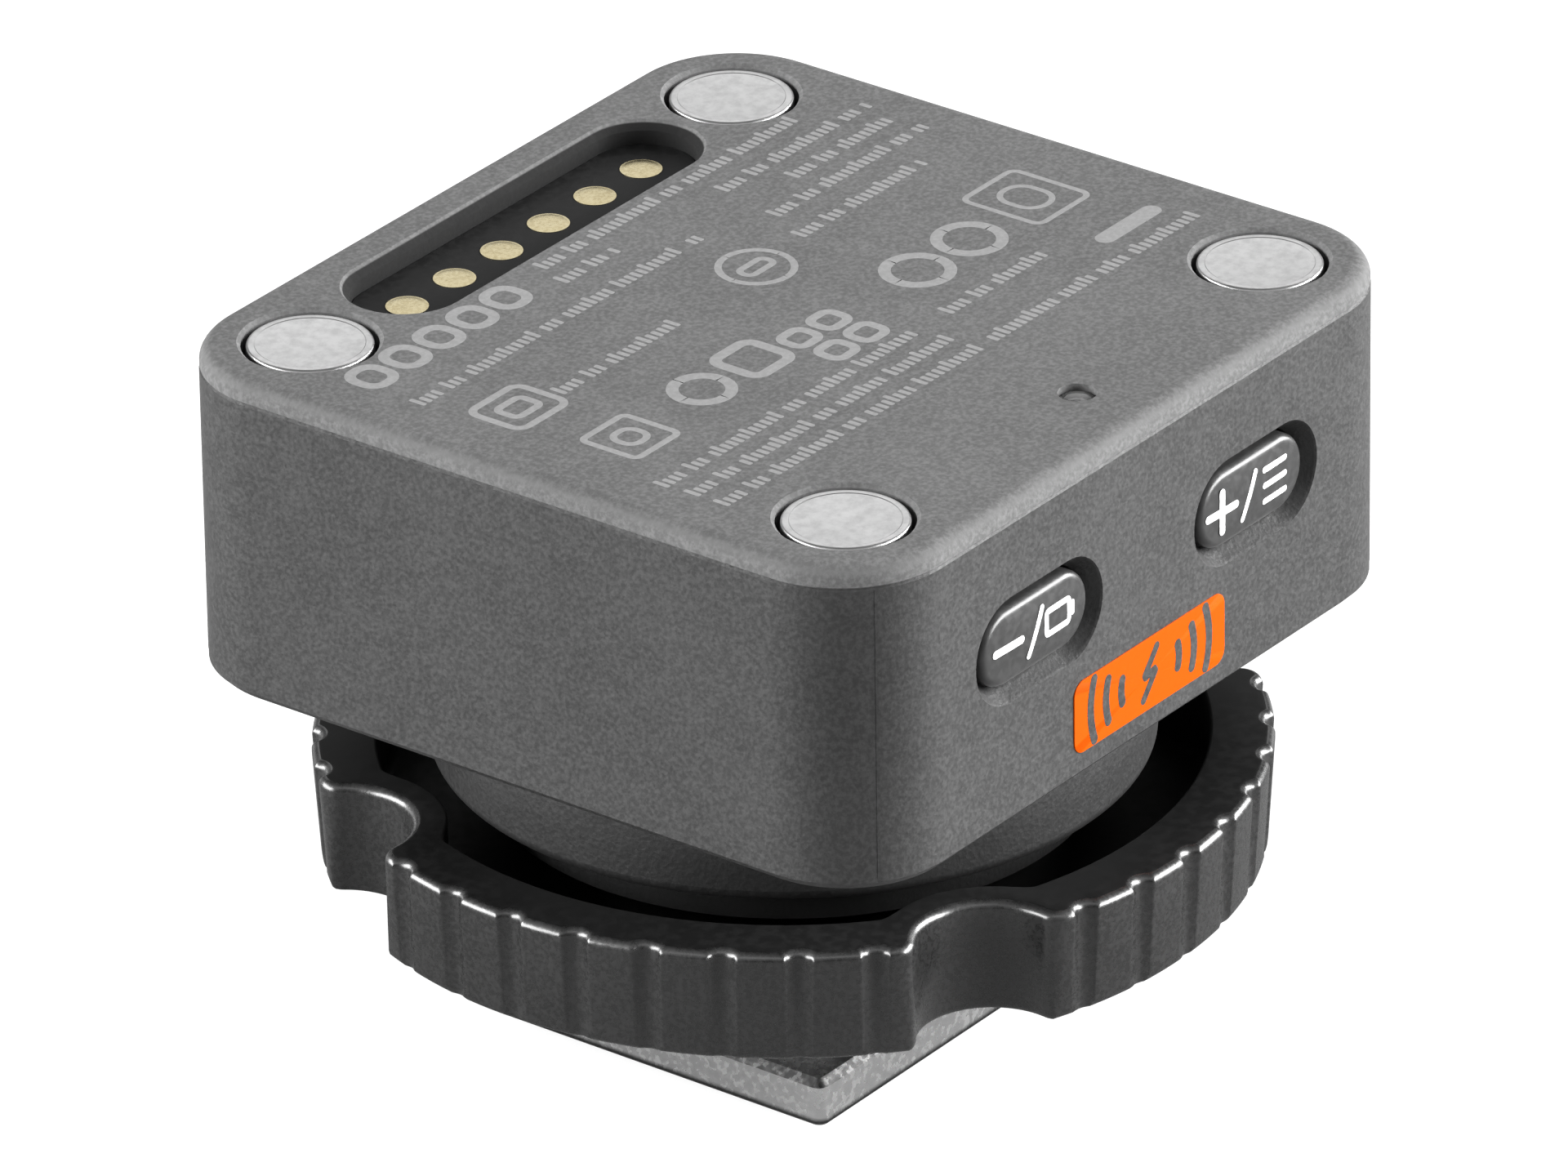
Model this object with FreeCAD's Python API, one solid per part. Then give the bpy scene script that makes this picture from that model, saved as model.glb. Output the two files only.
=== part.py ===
"""Wireless flash trigger: a small radio unit on a camera hot-shoe foot.

Millimetres. +Z is up, the buttons face -Y and the foot slides into a shoe along +Y.
The origin lies on the axis of the locking ring, level with the tips of the shoe pins.
"""

import FreeCAD, Part
import math
import os

V = FreeCAD.Vector
UP = V(0, 0, 1)
PRESS = V(0, 1, 0)

# ---- Foot and shoe pins -------------------------------------------------------------
FOOT_WIDTH = 18.6
FOOT_LENGTH = 17.8
FOOT_THICKNESS = 2.0
FOOT_SHIFT = 0.7            # how far the middle of the foot lies from the ring axis, along +Y
FOOT_LEAD_RADIUS = 2.2      # corners that enter the shoe first
FOOT_TRAIL_RADIUS = 0.5
FOOT_BEVEL = 0.3
FOOT_UNDER_BEVEL = 0.12
INSERT_PROUD = 0.15         # contact insert below the metal
INSERT_WIDTH = 9.7
INSERT_FRONT = 3.9          # insert edge ahead of the ring axis
INSERT_MARGIN = 0.9         # insert beyond the row of small pins
INSERT_STEP = 0.5           # ledge that traps the insert in the plate
INSERT_LEDGE = 1.0          # height of that ledge
PIN_PROUD = 0.45            # pin tips below the insert
CENTRE_PIN_RADIUS = 1.1
SMALL_PIN_RADIUS = 0.6
PIN_HEAD_RIM = 0.3
PIN_HEAD_HEIGHT = 0.8
PIN_TIP_ROUND = 0.7         # share of the pin radius
SMALL_PIN_PITCH = 2.5
SMALL_PIN_COUNT = 4
SMALL_PIN_SETBACK = 4.7     # row of small pins behind the centre pin, along -Y
SPRING_LENGTH = 3.0
SPRING_WIRE = 0.16          # radius
SPRING_TURNS = 6

# ---- Stem ---------------------------------------------------------------------------
STEM_RADIUS = 8.0
STEM_ACROSS_FLATS = 12.0
STEM_FLAT_WALL = 1.2        # wall between the cavity and a flat
STEM_CORNER_WALL = 0.92     # wall between a corner of the cavity and the round
STEM_FLANGE_THICKNESS = 1.2
NECK_INSET = 0.7            # neck block, set in from the ends of the foot
NECK_HEIGHT = 1.4
NECK_RADIUS = 1.5

# ---- Locking ring and pressure plate ------------------------------------------------
RING_REST_GAP = 4.55        # foot plate to ring, as the ring stands at rest
RING_HEIGHT = 4.75
RING_WALL = 2.55            # at the top of the ring, between the flutes
RING_DRAFT = 0.25           # how much smaller the outside is at the bottom
RING_FLOOR = 1.35
RING_CHAMFER = 0.3
RING_HUB_WALL = 1.5
RING_HUB_HEIGHT = 3.85      # above the bottom of the ring
QUADRANTS = 4
NOTCH_ANGLE = 60.0          # first thumb notch, degrees from +X
NOTCH_RADIUS = 2.9
NOTCH_DEPTH = 2.6
NOTCH_WALL = 1.35
FLUTES_PER_QUADRANT = 8
FLUTE_PITCH = 9.0           # degrees
FLUTE_RADIUS = 0.6
FLUTE_DEPTH = 0.35
PLATE_REACH = 2.92          # plate beyond the bore of the ring
PLATE_THICKNESS = 0.8
PLATE_BELOW_RING = 0.2
PLATE_LIP = 0.4             # radial step that keeps the plate in the ring
PLATE_LIP_HEIGHT = 0.25

# ---- Case ---------------------------------------------------------------------------
RING_TO_CASE = 4.85         # ring top to case bottom at rest
CASE_WIDTH = 35.9
CASE_DEPTH = 34.5
CASE_HEIGHT = 13.8
CASE_RADIUS = 4.6
CASE_EDGE = 0.35            # chamfer along the bottom edge
WALL = 1.4
INNER_RADIUS = 2.4
FLOOR = 1.5
BOSS_TO_RING = 2.05         # boss to the inside of the ring
BOSS_HEIGHT = 5.05
BOSS_WALL = 1.5
BOSS_FLOOR = 1.5
BOSS_FILLET = 0.5
BOSS_STEP = 2.15            # boss beyond the collar
COLLAR_WALL = 2.22
COLLAR_HEIGHT = 1.85
SEAM_DEPTH = 0.9            # parting line below the top face
SEAM_GROOVE = 0.08          # chamfer on both sides of the parting line
TOP_THICKNESS = 1.2
TOP_FILLET = 0.7
SKIRT = 1.0
SKIRT_HEIGHT = 0.9

# ---- Magnets and screw pillars ------------------------------------------------------
MAGNET_TO_SIDE = 0.55       # magnet to the inside of a side wall
MAGNET_TO_END = 0.45        # magnet to the inside of the front or rear wall
MAGNET_RADIUS = 2.5
MAGNET_THICKNESS = 1.5
MAGNET_SUNK = 0.1
MAGNET_GAP = 0.2
MAGNET_EDGE = 0.1
HOLE_EDGE = 0.15
CUP_WALL = 0.7
PILLAR_RADIUS = 1.9
CASE_SCREW_RADIUS = 0.8
CASE_SCREW_HEAD_RADIUS = 1.45
CASE_SCREW_HEAD = 0.8
CASE_SCREW_SUNK = 0.2
CASE_SCREW_LENGTH = 8.0
PILLAR_PILOT_EXTRA = 0.6    # how far the screw hole runs past the screw's end

# ---- Top contacts -------------------------------------------------------------------
POCKET_TO_MAGNET = 1.2
POCKET_TO_WALL = 0.28       # flange of the contact block to the rear wall
POCKET_WIDTH = 4.4
POCKET_DEPTH = 0.95
POCKET_RIM = 0.35
CONTACT_COUNT = 6
CONTACT_END = 2.3           # middle of an end contact to the end of the pocket
CONTACT_RADIUS = 0.85
CONTACT_PROUD = 0.05
BLOCK_FLANGE = 0.5
BLOCK_THICKNESS = 1.3

# ---- Buttons and switches -----------------------------------------------------------
BUTTON_X = 7.1
BUTTON_ABOVE_BOARD = 1.4    # button centre above the main board
RECESS_MARGIN = 0.55        # recess beyond the button hole, all round
RECESS_DEPTH = 0.8
BUTTON_HOLE_WIDTH = 7.1
BUTTON_HOLE_HEIGHT = 3.4
BUTTON_GAP = 0.1
BUTTON_SUNK = 0.1
BUTTON_FLANGE = 0.5
BUTTON_FLANGE_THICKNESS = 0.6
BUTTON_EDGE = 0.3
BUTTON_TRAVEL = 0.4
BUTTON_POST_RADIUS = 0.9
BUTTON_POST = 0.8
SWITCH_WIDTH = 4.6
SWITCH_DEPTH = 2.4
PLUNGER_RADIUS = 0.8
PLUNGER_SHOWN = 0.8
PLUNGER_IN = 0.3

# ---- Boards and other inside pieces -------------------------------------------------
BOARD_THICKNESS = 0.8
BATTERY_TO_BOARD = 0.3
BOARD_GAP = 0.25
BATTERY_WIDTH = 26.0
BATTERY_TO_PILLAR = 1.0
BATTERY_THICKNESS = 3.2
BATTERY_EDGE = 0.9
FOAM_THICKNESS = 0.3
CAN_WIDTH = 10.0
CAN_LENGTH = 9.0
CAN_HEIGHT = 1.6
CAN_WALL = 0.2
CAN_PLACE = V(-4.0, 1.5, 0)
ANTENNA_SIZE = V(5.0, 2.0, 1.0)
ANTENNA_TO_WALL = 2.05
ANTENNA_Y = -6.0
LED_SIZE = V(1.6, 1.2, 0.6)
LIGHT_INSET = 3.35          # light pipe behind the front face
LIGHT_RADIUS = 0.72
LIGHT_FLANGE = 0.4
LIGHT_FLANGE_HEIGHT = 0.6
LIGHT_DOME = 0.4
LIGHT_SUNK = 0.1
USB_WIDTH = 8.94
USB_HEIGHT = 3.2
USB_LENGTH = 7.3
USB_WALL = 0.3
USB_TONGUE_WIDTH = 6.7
USB_TONGUE_THICKNESS = 0.7
USB_TONGUE_LENGTH = 4.5
USB_SET_BACK = 0.4
MOUTH_GAP = 0.15
FLEX_WIDTH = 5.0
CONNECTOR_MARGIN = 0.5      # connector beyond the flex strip, each side
FLEX_THICKNESS = 0.15
FLEX_EDGE = 0.9             # how far a flex strip stays from an edge beside it
FLEX_DROP = 0.9             # run under the battery, below the case floor
CONNECTOR_HEIGHT = 1.0
CONNECTOR_DEPTH = 1.8
CONTACT_BOARD_THICKNESS = 0.8

# ---- Label and screws ---------------------------------------------------------------
LABEL_WIDTH = 9.9
LABEL_HEIGHT = 3.1
LABEL_RADIUS = 0.6
LABEL_BELOW_BUTTON = 4.8    # middle to middle
LABEL_THICKNESS = 0.06
FOOT_SCREW_X = 4.3
FOOT_SCREW_INSET = 1.9      # from the ends of the foot
FOOT_SCREW_RADIUS = 0.6
FOOT_SCREW_HEAD_RADIUS = 1.1
FOOT_SCREW_HEAD = 0.6
FOOT_SCREW_LENGTH = 3.2
STEM_SCREW_RADIUS = 0.7
STEM_SCREW_HEAD_RADIUS = 1.2
STEM_SCREW_HEAD = 0.6
STEM_SCREW_LENGTH = 3.6
STEM_SCREW_COUNT = 4
STEM_SCREW_ANGLE = 45.0     # first screw, degrees from +X
CROSS_REACH = 0.6           # share of the head radius
CROSS_WIDTH = 0.3
CROSS_DEPTH = 0.3

# ---- Clearances ---------------------------------------------------------------------
OVER = 1.0                  # how far a cutter runs past the face it cuts
TOLERANCE = 1e-4            # for picking edges by level
FIT = 0.05                  # pieces that seat in each other
RUNNING = 0.08              # pieces that slide or turn on each other
MOVING_GAP = 0.4            # pieces that pass without touching

# ---- Levels, from the pin tips up ---------------------------------------------------
INSERT_BOTTOM = PIN_PROUD
FOOT_BOTTOM = INSERT_BOTTOM + INSERT_PROUD
FOOT_TOP = FOOT_BOTTOM + FOOT_THICKNESS
RING_BOTTOM = FOOT_TOP + RING_REST_GAP
RING_TOP = RING_BOTTOM + RING_HEIGHT
CASE_BOTTOM = RING_TOP + RING_TO_CASE
CASE_TOP = CASE_BOTTOM + CASE_HEIGHT
SEAM = CASE_TOP - SEAM_DEPTH
FLOOR_TOP = CASE_BOTTOM + FLOOR
BOSS_BOTTOM = CASE_BOTTOM - BOSS_HEIGHT
BOSS_FLOOR_TOP = BOSS_BOTTOM + BOSS_FLOOR
COLLAR_BOTTOM = BOSS_BOTTOM - COLLAR_HEIGHT
BATTERY_BOTTOM = FLOOR_TOP + FOAM_THICKNESS
BATTERY_TOP = BATTERY_BOTTOM + BATTERY_THICKNESS
BOARD_BOTTOM = BATTERY_TOP + BATTERY_TO_BOARD
BOARD_TOP = BOARD_BOTTOM + BOARD_THICKNESS
TOP_UNDERSIDE = CASE_TOP - TOP_THICKNESS
CUP_BOTTOM = CASE_TOP - MAGNET_SUNK - MAGNET_THICKNESS - CUP_WALL
POCKET_FLOOR = CASE_TOP - POCKET_DEPTH
BLOCK_BOTTOM = TOP_UNDERSIDE - BLOCK_THICKNESS
BUTTON_Z = BOARD_TOP + BUTTON_ABOVE_BOARD
LABEL_Z = BUTTON_Z - LABEL_BELOW_BUTTON
HEAD_BOTTOM = FOOT_TOP
SPRING_BOTTOM = HEAD_BOTTOM + PIN_HEAD_HEIGHT
SPRING_TOP = SPRING_BOTTOM + SPRING_LENGTH

# ---- Places that follow from the sizes above ----------------------------------------
FRONT = -CASE_DEPTH / 2
SIDE = CASE_WIDTH / 2
INNER_WIDTH = CASE_WIDTH - 2 * WALL
INNER_DEPTH = CASE_DEPTH - 2 * WALL
HUB_BORE = STEM_RADIUS + RUNNING
HUB_RADIUS = HUB_BORE + RING_HUB_WALL
PLATE_RADIUS = HUB_BORE + PLATE_REACH
COLLAR_BORE = HUB_RADIUS + MOVING_GAP
COLLAR_RADIUS = COLLAR_BORE + COLLAR_WALL
BOSS_RADIUS = COLLAR_RADIUS + BOSS_STEP
BOSS_BORE = BOSS_RADIUS - BOSS_WALL
RING_OPENING_RADIUS = BOSS_RADIUS + BOSS_TO_RING
RING_RADIUS = RING_OPENING_RADIUS + RING_WALL
STEM_CAVITY_WIDTH = STEM_ACROSS_FLATS - 2 * STEM_FLAT_WALL
STEM_CAVITY_LENGTH = 2 * math.sqrt((STEM_RADIUS - STEM_CORNER_WALL) ** 2 - (STEM_CAVITY_WIDTH / 2) ** 2)
MAGNET_X = INNER_WIDTH / 2 - MAGNET_TO_SIDE - MAGNET_RADIUS
MAGNET_Y = INNER_DEPTH / 2 - MAGNET_TO_END - MAGNET_RADIUS
MAGNET_HOLE = MAGNET_RADIUS + MAGNET_GAP
CORNERS = {
    "front_left": V(-MAGNET_X, -MAGNET_Y, 0),
    "front_right": V(MAGNET_X, -MAGNET_Y, 0),
    "rear_left": V(-MAGNET_X, MAGNET_Y, 0),
    "rear_right": V(MAGNET_X, MAGNET_Y, 0),
}
FOOT_CENTRE = V(0, FOOT_SHIFT, 0)
SMALL_PIN_PLACES = [
    V((i - (SMALL_PIN_COUNT - 1) / 2) * SMALL_PIN_PITCH, FOOT_SHIFT - SMALL_PIN_SETBACK, 0)
    for i in range(SMALL_PIN_COUNT)
]
INSERT_REAR = SMALL_PIN_SETBACK - FOOT_SHIFT + INSERT_MARGIN
FOOT_REAR = FOOT_SHIFT - FOOT_LENGTH / 2
NECK_LENGTH = FOOT_LENGTH - 2 * NECK_INSET
PINS = {"centre": (FOOT_CENTRE, CENTRE_PIN_RADIUS)}
PINS.update({f"small_{i + 1}": (p, SMALL_PIN_RADIUS) for i, p in enumerate(SMALL_PIN_PLACES)})
NOTCH_CENTRE_RADIUS = RING_RADIUS - NOTCH_DEPTH + NOTCH_RADIUS
POCKET_LENGTH = 2 * (MAGNET_X - MAGNET_RADIUS - POCKET_TO_MAGNET)
POCKET_Y = INNER_DEPTH / 2 - POCKET_TO_WALL - BLOCK_FLANGE - POCKET_WIDTH / 2
CONTACT_PITCH = (POCKET_LENGTH - 2 * CONTACT_END) / (CONTACT_COUNT - 1)
BATTERY_LENGTH = 2 * (MAGNET_Y - PILLAR_RADIUS - BATTERY_TO_PILLAR)
RECESS_WIDTH = BUTTON_HOLE_WIDTH + 2 * RECESS_MARGIN
RECESS_HEIGHT = BUTTON_HOLE_HEIGHT + 2 * RECESS_MARGIN
POCKET_PLACE = V(0, POCKET_Y, 0)
LIGHT_PLACE = V(0, FRONT + LIGHT_INSET, 0)
ANTENNA_PLACE = V(ANTENNA_TO_WALL + (ANTENNA_SIZE.x - INNER_WIDTH) / 2, ANTENNA_Y, 0)
TOP_FLEX_PLACE = V(0, POCKET_Y - POCKET_WIDTH / 2 + FLEX_EDGE, 0)
CASE_SCREW_SEAT = CASE_BOTTOM + CASE_SCREW_HEAD + CASE_SCREW_SUNK
CASE_SCREW_TIP = CASE_SCREW_SEAT + CASE_SCREW_LENGTH
CONNECTOR_SIZE = V(FLEX_WIDTH + 2 * CONNECTOR_MARGIN, CONNECTOR_DEPTH, CONNECTOR_HEIGHT)
STEM_SCREW_TIP = BOSS_FLOOR_TOP + STEM_FLANGE_THICKNESS - STEM_SCREW_LENGTH
BUTTON_FLANGE_FRONT = FRONT + WALL + FIT
BUTTON_FLANGE_BACK = BUTTON_FLANGE_FRONT + BUTTON_FLANGE_THICKNESS
SWITCH_FRONT = BUTTON_FLANGE_BACK + BUTTON_POST + PLUNGER_SHOWN


# ---- Shape helpers ------------------------------------------------------------------
def union(shapes):
    """All the shapes as one."""
    first, *rest = shapes
    return first.multiFuse(rest) if rest else first


def cylinder(radius, z0, z1, at=V(0, 0, 0)):
    """Upright cylinder between two levels."""
    return Part.makeCylinder(radius, z1 - z0, V(at.x, at.y, z0))


def tube(outer, inner, z0, z1, at=V(0, 0, 0)):
    """Upright tube between two levels."""
    return cylinder(outer, z0, z1, at).cut(cylinder(inner, z0 - OVER, z1 + OVER, at))


def block(width, depth, z0, z1, at=V(0, 0, 0)):
    """Box centred on a point in plan, between two levels."""
    return Part.makeBox(width, depth, z1 - z0, V(at.x - width / 2, at.y - depth / 2, z0))


def rounded_block(width, depth, z0, z1, radius, at=V(0, 0, 0)):
    """Box with rounded upright edges."""
    body = block(width, depth, z0, z1, at)
    return body.makeFillet(radius, upright_edges(body))


def upright_edges(body):
    """Straight edges of a shape that run along Z."""
    edges = [e for e in body.Edges if len(e.Vertexes) == 2]
    return [e for e in edges if abs(abs(e.Vertexes[0].Z - e.Vertexes[1].Z) - e.Length) < TOLERANCE]


def edges_at(body, level):
    """Edges that lie wholly at one level."""
    return [e for e in body.Edges
            if abs(e.BoundBox.ZMin - level) < TOLERANCE and abs(e.BoundBox.ZMax - level) < TOLERANCE]


def slot_block(length, width, z0, z1, at=V(0, 0, 0)):
    """Obround plug, long along X."""
    ends = [V(at.x + s * (length - width) / 2, at.y, 0) for s in (-1, 1)]
    body = block(length - width, width, z0, z1, at)
    return body.multiFuse([cylinder(width / 2, z0, z1, e) for e in ends]).removeSplitter()


def pill(width, height, y0, y1, x, z):
    """Pill-shaped plug that runs along Y, long along X."""
    body = slot_block(width, height, 0, y1 - y0)
    body.rotate(V(0, 0, 0), V(1, 0, 0), -90)
    body.translate(V(x, y0, z))
    return body


def pill_funnel(outer, inner, y0, y1, x, z):
    """Pill-shaped hole whose walls slope from one size to a smaller one along Y."""
    wires = []
    for (width, height), y in ((outer, y0), (inner, y1)):
        plug = pill(width, height, y, y + OVER, x, z)
        face = min(plug.Faces, key=lambda f: f.CenterOfMass.y)
        wires.append(face.OuterWire)
    return Part.makeLoft(wires, True, True)


def rod(radius, y0, y1, x, z):
    """Cylinder that runs along Y."""
    return Part.makeCylinder(radius, y1 - y0, V(x, y0, z), PRESS)


def polar(radius, degrees):
    """Point at a radius and angle in plan."""
    angle = math.radians(degrees)
    return V(radius * math.cos(angle), radius * math.sin(angle), 0)


def turned(profile):
    """Solid of revolution about Z from (radius, level) points."""
    points = [V(r, 0, z) for r, z in profile]
    face = Part.Face(Part.makePolygon(points + points[:1]))
    return face.revolve(V(0, 0, 0), UP, 360)


# ---- Foot ---------------------------------------------------------------------------
def make_foot_plate():
    """Metal plate, its leading corners well rounded and its trailing ones nearly sharp."""
    body = block(FOOT_WIDTH, FOOT_LENGTH, FOOT_BOTTOM, FOOT_TOP, FOOT_CENTRE)
    lead = [e for e in upright_edges(body) if e.CenterOfMass.y > FOOT_SHIFT]
    body = body.makeFillet(FOOT_LEAD_RADIUS, lead)
    trail = [e for e in upright_edges(body) if e.CenterOfMass.y < FOOT_REAR + FIT]
    body = body.makeFillet(FOOT_TRAIL_RADIUS, trail)
    body = body.makeChamfer(FOOT_BEVEL, edges_at(body, FOOT_TOP))
    body = body.makeChamfer(FOOT_UNDER_BEVEL, edges_at(body, FOOT_BOTTOM))
    body = body.cut(insert_outline(FOOT_BOTTOM - OVER, FOOT_TOP + OVER, FIT))
    body = body.cut(insert_outline(FOOT_TOP - INSERT_LEDGE, FOOT_TOP + OVER, INSERT_STEP + FIT))
    return body.cut(union([foot_screw(p) for p in foot_screw_places()]))


def insert_outline(z0, z1, grow):
    """Contact insert in plan, grown all round."""
    length = INSERT_FRONT + INSERT_REAR
    middle = V(0, (INSERT_FRONT - INSERT_REAR) / 2, 0)
    return block(INSERT_WIDTH + 2 * grow, length + 2 * grow, z0, z1, middle)


def make_contact_insert():
    """Insulating insert, trapped in the plate by a ledge and bored for the pins."""
    body = insert_outline(INSERT_BOTTOM, FOOT_TOP, 0)
    body = body.fuse(insert_outline(FOOT_TOP - INSERT_LEDGE + FIT, FOOT_TOP, INSERT_STEP))
    holes = [cylinder(r + RUNNING, INSERT_BOTTOM - OVER, FOOT_TOP + OVER, p) for p, r in PINS.values()]
    return body.cut(union(holes)).removeSplitter()


def foot_screw_places():
    """Two screws near each end of the foot."""
    reach = FOOT_LENGTH / 2 - FOOT_SCREW_INSET
    return [V(i * FOOT_SCREW_X, FOOT_SHIFT + j * reach, 0) for i in (-1, 1) for j in (-1, 1)]


def foot_screw(at):
    """Countersunk screw, its head flush with the underside of the plate."""
    seat = V(at.x, at.y, FOOT_BOTTOM)
    head = Part.makeCone(FOOT_SCREW_HEAD_RADIUS, FOOT_SCREW_RADIUS, FOOT_SCREW_HEAD, seat)
    shank = cylinder(FOOT_SCREW_RADIUS, FOOT_BOTTOM, FOOT_BOTTOM + FOOT_SCREW_LENGTH, at)
    return head.fuse(shank)


def cross_slot(radius, at, z0, z1):
    """Cross recess in a screw head."""
    reach = radius * CROSS_REACH * 2
    return block(reach, CROSS_WIDTH, z0, z1, at).fuse(block(CROSS_WIDTH, reach, z0, z1, at))


def make_foot_screws():
    """Screws that hold the plate to the stem, driven from below."""
    drive = FOOT_BOTTOM + CROSS_DEPTH
    return Part.makeCompound([
        foot_screw(p).cut(cross_slot(FOOT_SCREW_HEAD_RADIUS, p, FOOT_BOTTOM - OVER, drive))
        for p in foot_screw_places()
    ])


def make_pin(place, radius):
    """Sprung shoe pin with a rounded tip and a head that stops it falling out."""
    shank = cylinder(radius, 0, HEAD_BOTTOM, place)
    shank = shank.makeFillet(radius * PIN_TIP_ROUND, edges_at(shank, 0))
    return shank.fuse(cylinder(radius + PIN_HEAD_RIM, HEAD_BOTTOM, SPRING_BOTTOM, place))


def make_spring(place, radius):
    """Compression spring between a pin head and the contact board."""
    coil = radius + PIN_HEAD_RIM - SPRING_WIRE
    height = SPRING_LENGTH - 2 * SPRING_WIRE
    path = Part.makeHelix(height / SPRING_TURNS, height, coil)
    section = Part.Wire([Part.makeCircle(SPRING_WIRE, V(coil, 0, 0), PRESS)])
    body = Part.Wire(path).makePipeShell([section], True, True)
    body.translate(V(place.x, place.y, SPRING_BOTTOM + SPRING_WIRE))
    return body


# ---- Stem ---------------------------------------------------------------------------
def stem_core(z0, z1, radius, across_flats):
    """Round stem with two flats that pass between the rails of a shoe."""
    return cylinder(radius, z0, z1).common(block(across_flats, 4 * radius, z0, z1))


def stem_screw_places():
    """Evenly round the collar, in the middle of its wall."""
    circle = (COLLAR_BORE + COLLAR_RADIUS) / 2
    return [polar(circle, STEM_SCREW_ANGLE + i * 360 / STEM_SCREW_COUNT) for i in range(STEM_SCREW_COUNT)]


def make_threaded_stem():
    """Stem with its neck between the shoe rails, the spring bores and the flange in the boss."""
    neck_top = FOOT_TOP + NECK_HEIGHT
    flange_top = BOSS_FLOOR_TOP + STEM_FLANGE_THICKNESS
    neck = rounded_block(STEM_ACROSS_FLATS, NECK_LENGTH, FOOT_TOP, neck_top, NECK_RADIUS, FOOT_CENTRE)
    core = stem_core(FOOT_TOP, flange_top, STEM_RADIUS, STEM_ACROSS_FLATS)
    flange = cylinder(BOSS_BORE - MOVING_GAP, BOSS_FLOOR_TOP, flange_top)
    body = union([neck, core, flange])
    cuts = [cylinder(r + PIN_HEAD_RIM + RUNNING, FOOT_TOP - OVER, SPRING_TOP + OVER, p)
            for p, r in PINS.values()]
    cuts.append(block(STEM_CAVITY_WIDTH, STEM_CAVITY_LENGTH, SPRING_TOP, flange_top + OVER))
    cuts += [cylinder(FOOT_SCREW_RADIUS, FOOT_TOP - OVER, FOOT_BOTTOM + FOOT_SCREW_LENGTH, p)
             for p in foot_screw_places()]
    cuts += [cylinder(STEM_SCREW_RADIUS, BOSS_FLOOR_TOP - OVER, flange_top + OVER, p)
             for p in stem_screw_places()]
    return body.cut(union(cuts)).removeSplitter()


def make_stem_screws():
    """Pan-head screws that hold the stem flange down on the boss floor."""
    seat = BOSS_FLOOR_TOP + STEM_FLANGE_THICKNESS
    top = seat + STEM_SCREW_HEAD
    screws = []
    for p in stem_screw_places():
        screw = cylinder(STEM_SCREW_HEAD_RADIUS, seat, top, p).fuse(
            cylinder(STEM_SCREW_RADIUS, seat - STEM_SCREW_LENGTH, seat, p))
        screws.append(screw.cut(cross_slot(STEM_SCREW_HEAD_RADIUS, p, top - CROSS_DEPTH, top + OVER)))
    return Part.makeCompound(screws)


def make_contact_board():
    """Small board above the pin springs."""
    return block(STEM_CAVITY_WIDTH - 2 * FIT, STEM_CAVITY_LENGTH - 2 * FIT, SPRING_TOP,
                 SPRING_TOP + CONTACT_BOARD_THICKNESS)


def make_foot_flex():
    """Flex strip from the contact board up past the battery to the main board."""
    start = SPRING_TOP + CONTACT_BOARD_THICKNESS
    near = STEM_CAVITY_LENGTH / 2 - FLEX_EDGE
    far = BATTERY_LENGTH / 2 + FLEX_EDGE * 2
    bend = FLOOR_TOP - FLEX_DROP
    rise = block(FLEX_WIDTH, FLEX_THICKNESS, start, bend, V(0, near, 0))
    length = far - near + FLEX_THICKNESS
    run = block(FLEX_WIDTH, length, bend - FLEX_THICKNESS, bend, V(0, (near + far) / 2, 0))
    climb = block(FLEX_WIDTH, FLEX_THICKNESS, bend, BOARD_BOTTOM, V(0, far, 0))
    return union([rise, run, climb]).removeSplitter()


# ---- Locking ring -------------------------------------------------------------------
def make_locking_ring():
    """Fluted ring with four thumb notches; the wall bulges inwards behind each notch."""
    full = turned([(0, RING_BOTTOM), (RING_RADIUS - RING_DRAFT - RING_CHAMFER, RING_BOTTOM),
                   (RING_RADIUS - RING_DRAFT, RING_BOTTOM + RING_CHAMFER),
                   (RING_RADIUS, RING_TOP - RING_CHAMFER), (RING_RADIUS - RING_CHAMFER, RING_TOP),
                   (0, RING_TOP)])
    floor_top = RING_BOTTOM + RING_FLOOR
    bowl = cylinder(RING_OPENING_RADIUS, floor_top, RING_TOP + OVER)
    bulge = NOTCH_RADIUS + NOTCH_WALL
    bulges = [cylinder(bulge, floor_top - OVER, RING_TOP + OVER, polar(NOTCH_CENTRE_RADIUS, a))
              for a in notch_angles()]
    hub = tube(HUB_RADIUS, HUB_BORE, RING_BOTTOM, RING_BOTTOM + RING_HUB_HEIGHT)
    ring = full.cut(bowl.cut(union(bulges)))
    ring = ring.cut(cylinder(HUB_BORE, RING_BOTTOM - OVER, RING_TOP + OVER)).fuse(hub)
    lip_top = RING_BOTTOM + PLATE_LIP_HEIGHT
    seat_top = RING_BOTTOM + PLATE_THICKNESS - PLATE_BELOW_RING + FIT
    ring = ring.cut(cylinder(PLATE_RADIUS - PLATE_LIP + RUNNING, RING_BOTTOM - OVER, lip_top))
    ring = ring.cut(cylinder(PLATE_RADIUS + RUNNING, lip_top, seat_top))
    return ring.cut(union(ring_grips())).removeSplitter()


def notch_angles():
    """Degrees from +X, one notch to a quadrant."""
    return [NOTCH_ANGLE + i * 360 / QUADRANTS for i in range(QUADRANTS)]


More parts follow.
